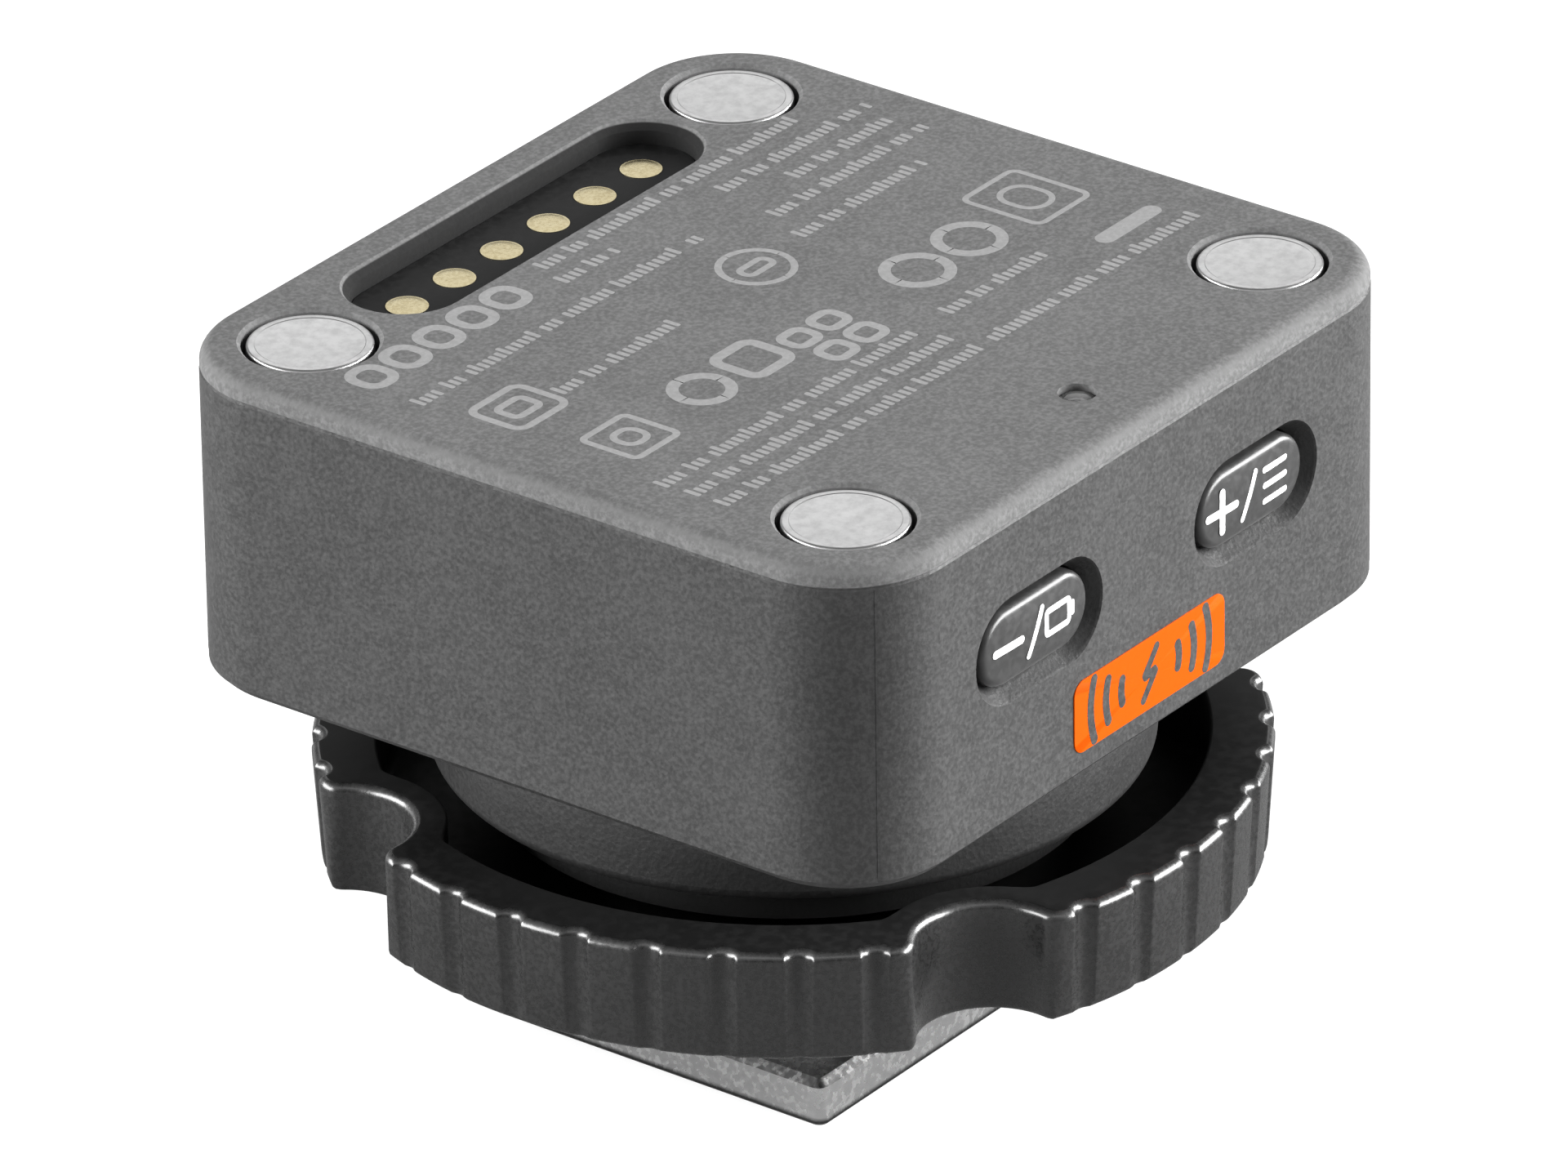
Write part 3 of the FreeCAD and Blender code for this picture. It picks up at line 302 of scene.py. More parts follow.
def many(surfaces: list[Surface]) -> Surface:
    """Several surfaces as one.

    Args:
        surfaces: the surfaces, in order.

    Returns:
        A surface with the points and faces of all.
    """
    shifts = np.cumsum([0] + [len(part.points) for part in surfaces[:-1]])
    return Surface(
        np.concatenate([part.points for part in surfaces]),
        np.concatenate([part.quads + shift for part, shift in zip(surfaces, shifts)]),
        np.concatenate([part.tris + shift for part, shift in zip(surfaces, shifts)]),
        np.concatenate([part.quad_finish for part in surfaces]),
    )


def copies(surface: Surface, scales: np.ndarray, shifts: np.ndarray) -> Surface:
    """One surface repeated: each copy is the surface scaled and then shifted.

    Args:
        surface: the surface to repeat.
        scales: (n, 3) scale of each copy.
        shifts: (n, 3) place of each copy.

    Returns:
        All the copies as one surface.
    """
    points = surface.points * scales[:, None] + shifts[:, None]
    step = (np.arange(len(shifts)) * len(surface.points))[:, None, None]
    quads = (surface.quads + step).reshape(-1, 4)
    tris = (surface.tris + step).reshape(-1, 3)
    return Surface(points.reshape(-1, 3), quads, tris, np.tile(surface.quad_finish, len(shifts)))


def smooth_min(a: np.ndarray, b: np.ndarray, blend: float) -> np.ndarray:
    """The smaller of two values, the two melted together where they differ by less than blend."""
    h = np.clip(0.5 + 0.5 * (b - a) / blend, 0, 1)
    return b * (1 - h) + a * h - blend * h * (1 - h)


# ---- Shader groups --------------------------------------------------------------------------
class Graph:
    """Builder for a node tree."""

    def __init__(self, tree: bpy.types.NodeTree) -> None:
        """Keeps the tree that nodes are added to."""
        self.tree = tree

    def add(self, kind: str, values: dict | None = None, **settings: object) -> bpy.types.Node:
        """New node.

        Args:
            kind: Blender's node type name.
            values: input name or number to a constant or to an output socket.
            settings: node properties.

        Returns:
            The node.
        """
        node = self.tree.nodes.new(kind)
        for key, value in settings.items():
            setattr(node, key, value)
        for key, value in (values or {}).items():
            if isinstance(value, Socket):
                self.tree.links.new(value, node.inputs[key])
            else:
                node.inputs[key].default_value = value
        return node

    def maths(self, operation: str, a: object, b: object = 0.0, clamp: bool = False) -> Socket:
        """Result of one arithmetic step on two values or sockets."""
        return self.add("ShaderNodeMath", {0: a, 1: b}, operation=operation, use_clamp=clamp).outputs[0]

    def place(self) -> Socket:
        """Object coordinates."""
        return self.add("ShaderNodeTexCoord").outputs["Object"]

    def noise(self, vector: object, scale: object, detail: float, rough: float = 0.5) -> Socket:
        """Noise value between 0 and 1."""
        values = {"Vector": vector, "Scale": scale, "Detail": detail, "Roughness": rough}
        return self.add("ShaderNodeTexNoise", values).outputs["Fac"]

    def remap(self, value: object, low: object, high: object, to: Pair = (0.0, 1.0)) -> Socket:
        """A value taken smoothly from one range to another and held at its ends."""
        values = {"Value": value, "From Min": low, "From Max": high, "To Min": to[0], "To Max": to[1]}
        return self.add("ShaderNodeMapRange", values, interpolation_type="SMOOTHSTEP").outputs[0]


@dataclass(frozen=True)
class Group:
    """Shader node group with named float inputs and outputs.

    Attributes:
        name: name of the group.
        inputs: input names.
        outputs: output names.
    """

    name: str
    inputs: tuple[str, ...]
    outputs: tuple[str, ...]

    def tree(self) -> bpy.types.NodeTree:
        """The group's tree, built the first time it is asked for.

        Returns:
            The node tree.
        """
        found = bpy.data.node_groups.get(self.name)
        if found:
            return found
        tree = bpy.data.node_groups.new(self.name, "ShaderNodeTree")
        for name in self.inputs:
            tree.interface.new_socket(name=name, in_out="INPUT", socket_type="NodeSocketFloat")
        for name in self.outputs:
            tree.interface.new_socket(name=name, in_out="OUTPUT", socket_type="NodeSocketFloat")
        graph = Graph(tree)
        inlet = tree.nodes.new("NodeGroupInput")
        outlet = tree.nodes.new("NodeGroupOutput")
        made = self.wire(graph, inlet)
        for name, socket in zip(self.outputs, made):
            tree.links.new(socket, outlet.inputs[name])
        return tree

    def wire(self, graph: Graph, inlet: bpy.types.Node) -> tuple[Socket, ...]:
        """Builds the inside of the group; each group has its own."""
        raise NotImplementedError

    def use(self, graph: Graph, **values: float) -> bpy.types.Node:
        """Places the group in a material.

        Args:
            graph: the material's graph.
            values: group inputs, with spaces written as underscores.

        Returns:
            The group node.
        """
        node = graph.add("ShaderNodeGroup", node_tree=self.tree())
        for key, value in values.items():
            node.inputs[key.replace("_", " ")].default_value = value
        return node


class SparkGrain(Group):
    """Spark eroded texture: sharp-edged cells mixed with rough noise."""

    def wire(self, graph: Graph, inlet: bpy.types.Node) -> tuple[Socket, ...]:
        """Height is three parts noise to two parts cell distance, at the grain's scale.

        Args:
            graph: the group's graph.
            inlet: the node with the group's inputs.

        Returns:
            The height and the mask.
        """
        place = graph.place()
        rough = graph.noise(place, inlet.outputs["Scale"], 3.0, 0.62)
        cells = graph.add("ShaderNodeTexVoronoi", {"Vector": place, "Scale": inlet.outputs["Scale"]})
        low = graph.maths("MULTIPLY", rough, 0.6)
        height = graph.maths("MULTIPLY_ADD", cells.outputs["Distance"], 0.4)
        graph.tree.links.new(low, height.node.inputs[2])
        return height, graph.remap(rough, 0.35, 0.7)


@dataclass(frozen=True)
class NoiseGrain(Group):
    """Plain noise, even or stretched along X.

    Attributes:
        squeeze: share of its length that X is squeezed to before the noise is looked up.
        detail: octaves of noise.
        rough: strength of the finer octaves.
        high: noise value where the mask is full.
    """

    squeeze: float
    detail: float
    rough: float
    high: float

    def wire(self, graph: Graph, inlet: bpy.types.Node) -> tuple[Socket, ...]:
        """The place is squeezed along X before the noise there is looked up.

        Args:
            graph: the group's graph.
            inlet: the node with the group's inputs.

        Returns:
            The height, and a mask that is the same noise with more contrast.
        """
        values = {"Vector": graph.place(), "Scale": (self.squeeze, 1.0, 1.0)}
        place = graph.add("ShaderNodeMapping", values).outputs[0]
        noise = graph.noise(place, inlet.outputs["Scale"], self.detail, self.rough)
        return noise, graph.remap(noise, 0.4, self.high)


class TumbledGrain(Group):
    """Tumbled metal: noise crossed by fine random scratches."""

    def wire(self, graph: Graph, inlet: bpy.types.Node) -> tuple[Socket, ...]:
        """Scratches are thin bands where a coarser noise is near its middle value.

        Args:
            graph: the group's graph.
            inlet: the node with the group's inputs.

        Returns:
            The height and the mask.
        """
        place = graph.place()
        soft = graph.noise(place, inlet.outputs["Scale"], 4.0, 0.7)
        wide = graph.maths("MULTIPLY", inlet.outputs["Scale"], 0.3)
        band = graph.maths("ABSOLUTE", graph.maths("SUBTRACT", graph.noise(place, wide, 1.0), 0.5))
        scratch = graph.remap(band, 0.0, 0.012, (0.0, 1.0))
        return graph.maths("MULTIPLY", soft, scratch), graph.remap(soft, 0.35, 0.7)


class Mottle(Group):
    """Slow drift of tone over a surface."""

    def wire(self, graph: Graph, inlet: bpy.types.Node) -> tuple[Socket, ...]:
        """Two noises, one five times finer, averaged and given more contrast.

        Args:
            graph: the group's graph.
            inlet: the node with the group's inputs.

        Returns:
            The mask.
        """
        place = graph.place()
        finer = graph.maths("MULTIPLY", inlet.outputs["Scale"], 5.0)
        coarse = graph.noise(place, inlet.outputs["Scale"], 2.0)
        both = graph.maths("ADD", coarse, graph.noise(place, finer, 2.0))
        return (graph.remap(graph.maths("MULTIPLY", both, 0.5), 0.38, 0.62),)


class PaintedLightBand(Group):
    """Band at one level where painted shade and painted highlights are put into the colour: strongest at the
    level, broken up by noise.
    """

    def wire(self, graph: Graph, inlet: bpy.types.Node) -> tuple[Socket, ...]:
        """Mask is one less the distance from the level over the width, less noise, held above zero.

        Args:
            graph: the group's graph.
            inlet: the node with the group's inputs.

        Returns:
            The mask.
        """
        place = graph.place()
        z = graph.add("ShaderNodeSeparateXYZ", {0: place}).outputs["Z"]
        away = graph.maths("ABSOLUTE", graph.maths("SUBTRACT", z, inlet.outputs["Level"]))
        near = graph.maths("SUBTRACT", 1.0, graph.maths("DIVIDE", away, inlet.outputs["Width"]))
        rough = graph.maths("MULTIPLY", graph.noise(place, 900.0, 3.0), inlet.outputs["Break"])
        left = graph.maths("SUBTRACT", near, rough)
        return (graph.maths("MULTIPLY", left, inlet.outputs["Amount"], clamp=True),)


class BoxMask(Group):
    """Soft-edged mask of two boxes set as mirror images across X."""

    def wire(self, graph: Graph, inlet: bpy.types.Node) -> tuple[Socket, ...]:
        """Product over the axes of a step down where the distance from the middle passes the half size.

        Args:
            graph: the group's graph.
            inlet: the node with the group's inputs.

        Returns:
            The mask.
        """
        parts = graph.add("ShaderNodeSeparateXYZ", {0: graph.place()}).outputs
        spots = {"X": graph.maths("ABSOLUTE", parts["X"]), "Y": parts["Y"], "Z": parts["Z"]}
        mask = None
        for axis, spot in spots.items():
            away = graph.maths("ABSOLUTE", graph.maths("SUBTRACT", spot, inlet.outputs[axis]))
            over = graph.maths("SUBTRACT", away, inlet.outputs[f"Half {axis}"])
            step = graph.remap(over, 0.0, -0.00006)
            mask = step if mask is None else graph.maths("MULTIPLY", mask, step)
        return (mask,)


GRAINS: dict[Grain, Group] = {
    Grain.SPARK: SparkGrain("spark grain", ("Scale",), ("Height", "Mask")),
    Grain.SATIN: NoiseGrain("satin grain", ("Scale",), ("Height", "Mask"), 1.0, 1.5, 0.5, 0.65),
    Grain.BRUSHED: NoiseGrain("brushed grain", ("Scale",), ("Height", "Mask"), 0.033, 2.0, 0.6, 0.6),
    Grain.TUMBLED: TumbledGrain("tumbled grain", ("Scale",), ("Height", "Mask")),
}
MOTTLE = Mottle("mottle", ("Scale",), ("Mask",))
PAINTED_LIGHT_BAND = PaintedLightBand("painted light band", ("Level", "Width", "Break", "Amount"), ("Mask",))
BOX_MASK = BoxMask("box mask", ("X", "Y", "Z", "Half X", "Half Y", "Half Z"), ("Mask",))


# ---- Finishes -------------------------------------------------------------------------------
COAT_ROUGHNESS = 0.1
MOTTLE_SIZE = 6.0     # size of the patches in which a tone drifts, mm
MOTTLE_SHARE = 0.2    # how much of the drift is patches; the rest is grain


@dataclass(frozen=True)
class Finish:
    """One surface finish.

    Attributes:
        slot: material slot of the record.
        colour: base colour, linear.
        tone: colour that the mottling and grain drift towards, linear.
        roughness: lowest and highest roughness.
        grain: texture.
        grain_size: size of one grain, mm.
        grain_depth: relief of the grain, mm.
        metallic: 1 for bare metal.
        coat: strength of a clear coat.
        specular: specular level.
        painted_band_level: level of a band of painted shade or of a painted highlight, mm.
        painted_band_width: how far the painted band spreads, mm.
        painted_band_colour: colour painted into the band, linear: darker than the base for painted shade,
            lighter for a painted highlight.
        painted_band_break: how far noise breaks the painted band up.
        painted_band_amount: strength of the painted band.
        shade_box: middle and half sizes of a box, mirrored across X, whose surfaces get painted shade, mm.
        shade_colour: colour of the painted shade inside that box, linear.
        glow: strength of light given off, painted light on a surface that is no lamp.
        clear: 1 for a see-through material.
    """

    slot: str
    colour: Colour
    tone: Colour
    roughness: Pair
    grain: Grain = Grain.SATIN
    grain_size: float = 0.25
    grain_depth: float = 0.004
    metallic: float = 0.0
    coat: float = 0.0
    specular: float = 0.5
    painted_band_level: float = 0.0
    painted_band_width: float = 0.0
    painted_band_colour: Colour = (0.3, 0.3, 0.3)
    painted_band_break: float = 0.7
    painted_band_amount: float = 1.0
    shade_box: tuple[float, ...] = ()
    shade_colour: Colour = (0.015, 0.015, 0.015)
    glow: float = 0.0
    clear: float = 0.0

    def material(self, name: str | None = None) -> bpy.types.Material:
        """Builds the finish as a material.

        Args:
            name: name of the material, the slot's own if left out.

        Returns:
            The material, made once for each name.
        """
        name = name or self.slot
        found = bpy.data.materials.get(name)
        if found and found.get("finished"):
            return found
        made = bpy.data.materials.new(name)
        made["finished"] = True
        made.use_nodes = True
        made.node_tree.nodes.clear()
        graph = Graph(made.node_tree)
        grain = GRAINS[self.grain].use(graph, Scale=1 / (self.grain_size * MM))
        mottle = MOTTLE.use(graph, Scale=1 / (MOTTLE_SIZE * MM)).outputs["Mask"]
        drift = graph.maths("MULTIPLY_ADD", grain.outputs["Mask"], 1 - MOTTLE_SHARE)
        graph.tree.links.new(graph.maths("MULTIPLY", mottle, MOTTLE_SHARE), drift.node.inputs[2])
        colour = self.mixed(graph, drift, (*self.colour, 1.0), (*self.tone, 1.0))
        # Painted band: painted shade or a painted highlight mixed into the colour about one level.
        if self.painted_band_width:
            painted_band = PAINTED_LIGHT_BAND.use(graph, Level=self.painted_band_level * MM, Width=self.painted_band_width * MM,
                                 Break=self.painted_band_break, Amount=self.painted_band_amount)
            colour = self.mixed(graph, painted_band.outputs["Mask"], colour, (*self.painted_band_colour, 1.0))
        # Painted shade: a darker colour inside a box round a recess.
        if self.shade_box:
            names = ("X", "Y", "Z", "Half_X", "Half_Y", "Half_Z")
            sizes = {name: value * MM for name, value in zip(names, self.shade_box)}
            shade = BOX_MASK.use(graph, **sizes)
            colour = self.mixed(graph, shade.outputs["Mask"], colour, (*self.shade_colour, 1.0))
        low, high = self.roughness
        rough = graph.add("ShaderNodeMapRange", {"Value": drift, "To Min": low, "To Max": high})
        bump = {"Height": grain.outputs["Height"], "Strength": 1.0, "Distance": self.grain_depth * MM}
        values = {
            "Base Color": colour,
            "Roughness": rough.outputs[0],
            "Normal": graph.add("ShaderNodeBump", bump).outputs[0],
            "Metallic": self.metallic,
            "Specular IOR Level": self.specular,
            "Coat Weight": self.coat,
            "Coat Roughness": COAT_ROUGHNESS,
            "Transmission Weight": self.clear,
            # Painted light: a finish with glow gives off light though it is no lamp.
            "Emission Strength": self.glow,
            "Emission Color": (*self.tone, 1.0),
        }
        shader = graph.add("ShaderNodeBsdfPrincipled", values)
        graph.add("ShaderNodeOutputMaterial", {"Surface": shader.outputs[0]})
        return made

    @staticmethod
    def mixed(graph: Graph, factor: object, a: object, b: object) -> Socket:
        """Colour between two colours.

        Args:
            graph: the material's graph.
            factor: share of the second colour.
            a: first colour.
            b: second colour.

        Returns:
            The mixed colour.
        """
        node = graph.add("ShaderNodeMix", data_type="RGBA")
        for index, value in ((0, factor), (6, a), (7, b)):
            if isinstance(value, Socket):
                graph.tree.links.new(value, node.inputs[index])
            else:
                node.inputs[index].default_value = value
        return node.outputs[2]


def grey(value: float) -> Colour:
    """Neutral colour."""
    return (value, value, value)


# Shell: painted shade darkens the shell below the case, most at 11.5 mm, and painted shade fills both key
# recesses inside the box.
BODY_PLASTIC = Finish("shell_plastic", grey(0.022), grey(0.046), (0.44, 0.55), Grain.SPARK, 0.2, 0.02,
                      painted_band_level=11.5, painted_band_width=5.2, painted_band_colour=grey(0.012), painted_band_break=0.1,
                      painted_band_amount=1.6, shade_box=(7.1, -16.7, 24.25, 4.25, 0.5, 2.4))
# Cover: the lighter band along the top rim at 30.3 mm is a painted highlight, and the box round the contact
# pocket holds painted shade.
COVER_PLASTIC = Finish("cover_plastic", grey(0.1), grey(0.165), (0.82, 0.94), Grain.SPARK, 0.2, 0.014,
                       specular=0.15, painted_band_level=30.3, painted_band_width=0.3, painted_band_colour=grey(0.14),
                       shade_box=(0.0, 12.87, 29.4, 10.3, 2.7, 1.08))
# Ring wall: the lighter band at 11.75 mm along the top edge is a painted highlight.
RING_WALL = Finish("ring_plastic", grey(0.01), grey(0.022), (0.24, 0.34), Grain.SPARK, 0.2, 0.007,
                   specular=0.8, painted_band_level=11.75, painted_band_width=0.2, painted_band_colour=grey(0.08))
RING_FACE = Finish("ring_plastic", grey(0.006), grey(0.01), (0.6, 0.7), Grain.SATIN, 0.5, 0.0006,
                   specular=0.15)
FINISHES: tuple[Finish, ...] = (
    BODY_PLASTIC,
    COVER_PLASTIC,
    RING_WALL,
    Finish("pad_plastic", grey(0.03), grey(0.045), (0.4, 0.55), Grain.SATIN, 0.3, 0.004),
    Finish("stem_plastic", grey(0.02), grey(0.03), (0.3, 0.45), Grain.SATIN, 0.4, 0.003),
    Finish("insert_plastic", grey(0.012), grey(0.02), (0.6, 0.72), Grain.SATIN, 0.3, 0.003, specular=0.2),
    Finish("button_plastic", grey(0.03), grey(0.04), (0.3, 0.38), Grain.SATIN, 0.35, 0.0006),
    # Foot: the dark band near the bottom at 0.6 mm is painted shade along the lower edge.
    Finish("foot_metal", grey(0.72), grey(0.8), (0.22, 0.3), Grain.SATIN, 0.3, 0.0006, metallic=1.0,
           painted_band_level=0.6, painted_band_width=0.4, painted_band_colour=grey(0.08), painted_band_break=0.1, painted_band_amount=2.2),
    Finish("screw_steel", grey(0.4), grey(0.3), (0.28, 0.4), Grain.TUMBLED, 0.2, 0.003, metallic=1.0),
    Finish("magnet_nickel", grey(0.72), grey(0.6), (0.3, 0.42), Grain.TUMBLED, 0.5, 0.002, metallic=1.0),
    Finish("gold_contact", (0.68, 0.6, 0.38), (0.56, 0.47, 0.26), (0.2, 0.32), Grain.TUMBLED, 0.15, 0.002,
           metallic=1.0),
    Finish("spring_steel", grey(0.5), grey(0.42), (0.25, 0.35), Grain.BRUSHED, 0.1, 0.001, metallic=1.0),
    Finish("can_metal", grey(0.6), grey(0.5), (0.3, 0.42), Grain.BRUSHED, 0.12, 0.001, metallic=1.0),
    Finish("clear_lens", grey(0.75), grey(0.9), (0.08, 0.14), Grain.SATIN, 0.3, 0.0005, clear=0.9),
    # Label: its glow is painted light that lifts the orange.
    Finish("label_print", (0.54, 0.068, 0.0), (0.52, 0.066, 0.0), (0.55, 0.65), Grain.SPARK, 0.3, 0.002,
           specular=0.05, glow=0.12),
    Finish("circuit_board", (0.01, 0.07, 0.03), (0.02, 0.1, 0.045), (0.3, 0.42), Grain.BRUSHED, 0.4, 0.002,
           coat=0.3),
    Finish("flex_film", (0.42, 0.2, 0.04), (0.35, 0.15, 0.03), (0.3, 0.4), Grain.BRUSHED, 0.5, 0.002),
    Finish("battery_wrap", (0.22, 0.24, 0.28), (0.3, 0.32, 0.36), (0.28, 0.4), Grain.SATIN, 1.2, 0.01,
           metallic=0.6),
    Finish("foam", grey(0.03), grey(0.06), (0.85, 0.95), Grain.SPARK, 0.4, 0.05),
    Finish("ceramic", (0.55, 0.5, 0.42), (0.62, 0.58, 0.5), (0.4, 0.5), Grain.SATIN, 0.2, 0.002),
    Finish("led_resin", (0.7, 0.68, 0.4), (0.8, 0.78, 0.5), (0.25, 0.35), Grain.SATIN, 0.2, 0.001),
    Finish("switch_body", grey(0.35), grey(0.45), (0.3, 0.4), Grain.BRUSHED, 0.2, 0.001, metallic=0.8),
    Finish("switch_plunger", grey(0.02), grey(0.03), (0.4, 0.5), Grain.SATIN, 0.2, 0.001),
)
BY_SLOT: dict[str, Finish] = {finish.slot: finish for finish in FINISHES}
KEY_PRINT = Finish("button_plastic", grey(0.8), grey(0.9), (0.4, 0.5), Grain.SATIN, 0.2, 0.001)
FAINT_PRINT = Finish("cover_plastic", grey(0.24), grey(0.29), (0.82, 0.94), Grain.SPARK, 0.22, 0.004,
                     specular=0.15)


SHARP_EDGE = 38.0    # angle past which an edge is kept sharp, degrees
FINE_EDGE = 30.0     # the same on turned pieces


def add_piece(name: str, surface: Surface, materials: list[bpy.types.Material], body: str,
              replaced: tuple[str, ...] = (), sharp: float = SHARP_EDGE) -> bpy.types.Object:
    """Turns a surface into a finished piece.

    Args:
        name: name of the piece.
        surface: its closed surface, in millimetres.
        materials: its materials, in the order of the surface's material numbers.
        body: the body it rides on.
        replaced: CAD nodes that it stands for.
        sharp: angle in degrees past which an edge is kept sharp.

    Returns:
        The object.
    """
    mesh = bpy.data.meshes.new(name)
    faces = surface.quads.tolist() + surface.tris.tolist()
    mesh.from_pydata((surface.points * MM).tolist(), [], faces)
    numbers = np.concatenate([surface.quad_finish, np.zeros(len(surface.tris), int)])
    for material in materials:
        mesh.materials.append(material)
    mesh.polygons.foreach_set("material_index", numbers.astype(np.int32))
    mesh.shade_smooth()
    mesh.set_sharp_from_angle(angle=math.radians(sharp))
    mesh.update()
    piece = bpy.data.objects.new(name, mesh)
    bpy.context.scene.collection.objects.link(piece)
    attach(piece, body)
    if replaced:
        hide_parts(*replaced)
    LOG.info("piece %s on %s: %d points", name, body, len(surface.points))
    return piece


def dress(slot: str, nodes: list[str]) -> None:
    """Gives CAD nodes the finish of a slot.

    Args:
        slot: material slot of the record.
        nodes: names of the nodes.
    """
    material = BY_SLOT[slot].material()
    for name in nodes:
        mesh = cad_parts[name].data
        if not mesh.materials:
            mesh.materials.append(material)
        for index in range(len(mesh.materials)):
            mesh.materials[index] = material
        LOG.info("node %s dressed as %s", name, slot)


# ---- Sub-assemblies -------------------------------------------------------------------------
@dataclass(frozen=True)
class Studio:
    """Camera, floor and lights.

    Attributes:
        aim: point that the camera's place is given from, mm.
        azimuth: camera azimuth, radians.
        elevation: camera elevation, radians.
        roll: turn of the camera about its view line, radians.
        distance: from the aim to the camera, mm.
        offset: camera shifted right and up, mm.
        lens: focal length on a 36 mm sensor, mm.
        floor_tone: share of light that the floor gives back.
        floor_glow: light that the floor gives off as the camera sees it.
        surroundings: strength of the even light from all round.
        boxes: soft boxes, each with its name, azimuth and elevation in degrees, distance from the
            object in metres, width and height in metres, and power in watts.
    """

    aim: Colour = (0.0, 0.0, 30.55)
    azimuth: float = -0.920009
    elevation: float = 0.476983
    roll: float = -0.0147553
    distance: float = 610.689
    offset: Pair = (-0.2834, -11.1876)
    lens: float = 361.58
    floor_tone: float = 0.25
    floor_glow: float = 0.83
    surroundings: float = 0.08
    boxes: tuple[tuple[str, float, float, float, Pair, float], ...] = (
        ("left box", -134, 15, 0.6, (0.7, 0.3), 10.6),
        ("right box", 43, 15, 0.6, (0.7, 0.3), 15.6),
        ("front box", -53, 46, 0.8, (0.7, 0.3), 0.45),
        ("back box", 127, 35, 0.7, (0.7, 0.4), 0.9),
    )

    @staticmethod
    def direction(azimuth: float, elevation: float) -> Vector:
        """Unit vector from the object towards an azimuth and elevation in radians."""
        flat = math.cos(elevation)
        return Vector((math.sin(azimuth) * flat, -math.cos(azimuth) * flat, math.sin(elevation)))

    def camera(self) -> None:
        """Places the camera: back from the aim, then right and up, and rolls its axes."""
        back = self.direction(self.azimuth, self.elevation)
        right = Vector((math.cos(self.azimuth), math.sin(self.azimuth), 0))
        up = back.cross(right)
        place = Vector(self.aim) + back * self.distance + right * self.offset[0] + up * self.offset[1]
        c, s = math.cos(self.roll), math.sin(self.roll)
        axes = Matrix((c * right + s * up, -s * right + c * up, back)).transposed()
        data = bpy.data.cameras.new("camera")
        data.sensor_width, data.lens = 36.0, self.lens
        data.clip_start, data.clip_end = 0.05, 20.0
        camera = bpy.data.objects.new("camera", data)
        camera.matrix_world = Matrix.Translation(place * MM) @ axes.to_4x4()
        bpy.context.scene.collection.objects.link(camera)
        bpy.context.scene.camera = camera

    def paper(self) -> bpy.types.Material:
        """Pale matt paper, lit a little from behind as seen by the camera.

        Returns:
            The material.
        """
        made = bpy.data.materials.new("floor")
        made.use_nodes = True
        made.node_tree.nodes.clear()
        graph = Graph(made.node_tree)
        seen = graph.add("ShaderNodeLightPath").outputs["Is Camera Ray"]
        values = {"Base Color": (*grey(self.floor_tone), 1.0), "Roughness": 0.9, "Specular IOR Level": 0.1,
                  "Emission Color": (1.0, 1.0, 1.0, 1.0),
                  "Emission Strength": graph.maths("MULTIPLY", seen, self.floor_glow)}
        shader = graph.add("ShaderNodeBsdfPrincipled", values)
        graph.add("ShaderNodeOutputMaterial", {"Surface": shader.outputs[0]})
        return made

    def floor(self) -> None:
        """Wide pale sheet under the pin tips."""
        corners = [(-3.0, -3.0, 0), (3.0, -3.0, 0), (3.0, 3.0, 0), (-3.0, 3.0, 0)]
        mesh = bpy.data.meshes.new("floor")
        mesh.from_pydata(corners, [], [(0, 1, 2, 3)])
        mesh.materials.append(self.paper())
        sheet = bpy.data.objects.new("floor", mesh)
        sheet.location.z = -0.00002
        bpy.context.scene.collection.objects.link(sheet)

    def light(self, name: str, azimuth: float, elevation: float, distance: float, size: Pair,
              power: float) -> None:
        """Soft box aimed at the object.

        Args:
            name: name of the light.
            azimuth: direction it stands in, degrees, as for the camera.
            elevation: height above the floor, degrees.
            distance: metres from the object.
            size: width and height, metres.
            power: watts.
        """
        data = bpy.data.lights.new(name, "AREA")
        data.shape, data.size, data.size_y, data.energy = "RECTANGLE", size[0], size[1], power
        back = self.direction(math.radians(azimuth), math.radians(elevation))
        lamp = bpy.data.objects.new(name, data)
        lamp.location = Vector((0, 0, 0.015)) + back * distance
        lamp.rotation_euler = back.to_track_quat("Z", "Y").to_euler()
        bpy.context.scene.collection.objects.link(lamp)

    def lights(self) -> None:
        """Dim surroundings, a strong box to either side and weak ones behind and in front."""
        world = bpy.data.worlds.new("surroundings")
        bpy.context.scene.world = world
        world.use_nodes = True
        back = world.node_tree.nodes["Background"]
        back.inputs["Color"].default_value = (1, 1, 1, 1)
        back.inputs["Strength"].default_value = self.surroundings
        for box in self.boxes:
            self.light(*box)
        bpy.context.scene.view_settings.view_transform = "Standard"

    def build(self) -> None:
        """Makes the whole stage."""
        self.camera()
        self.floor()
        self.lights()


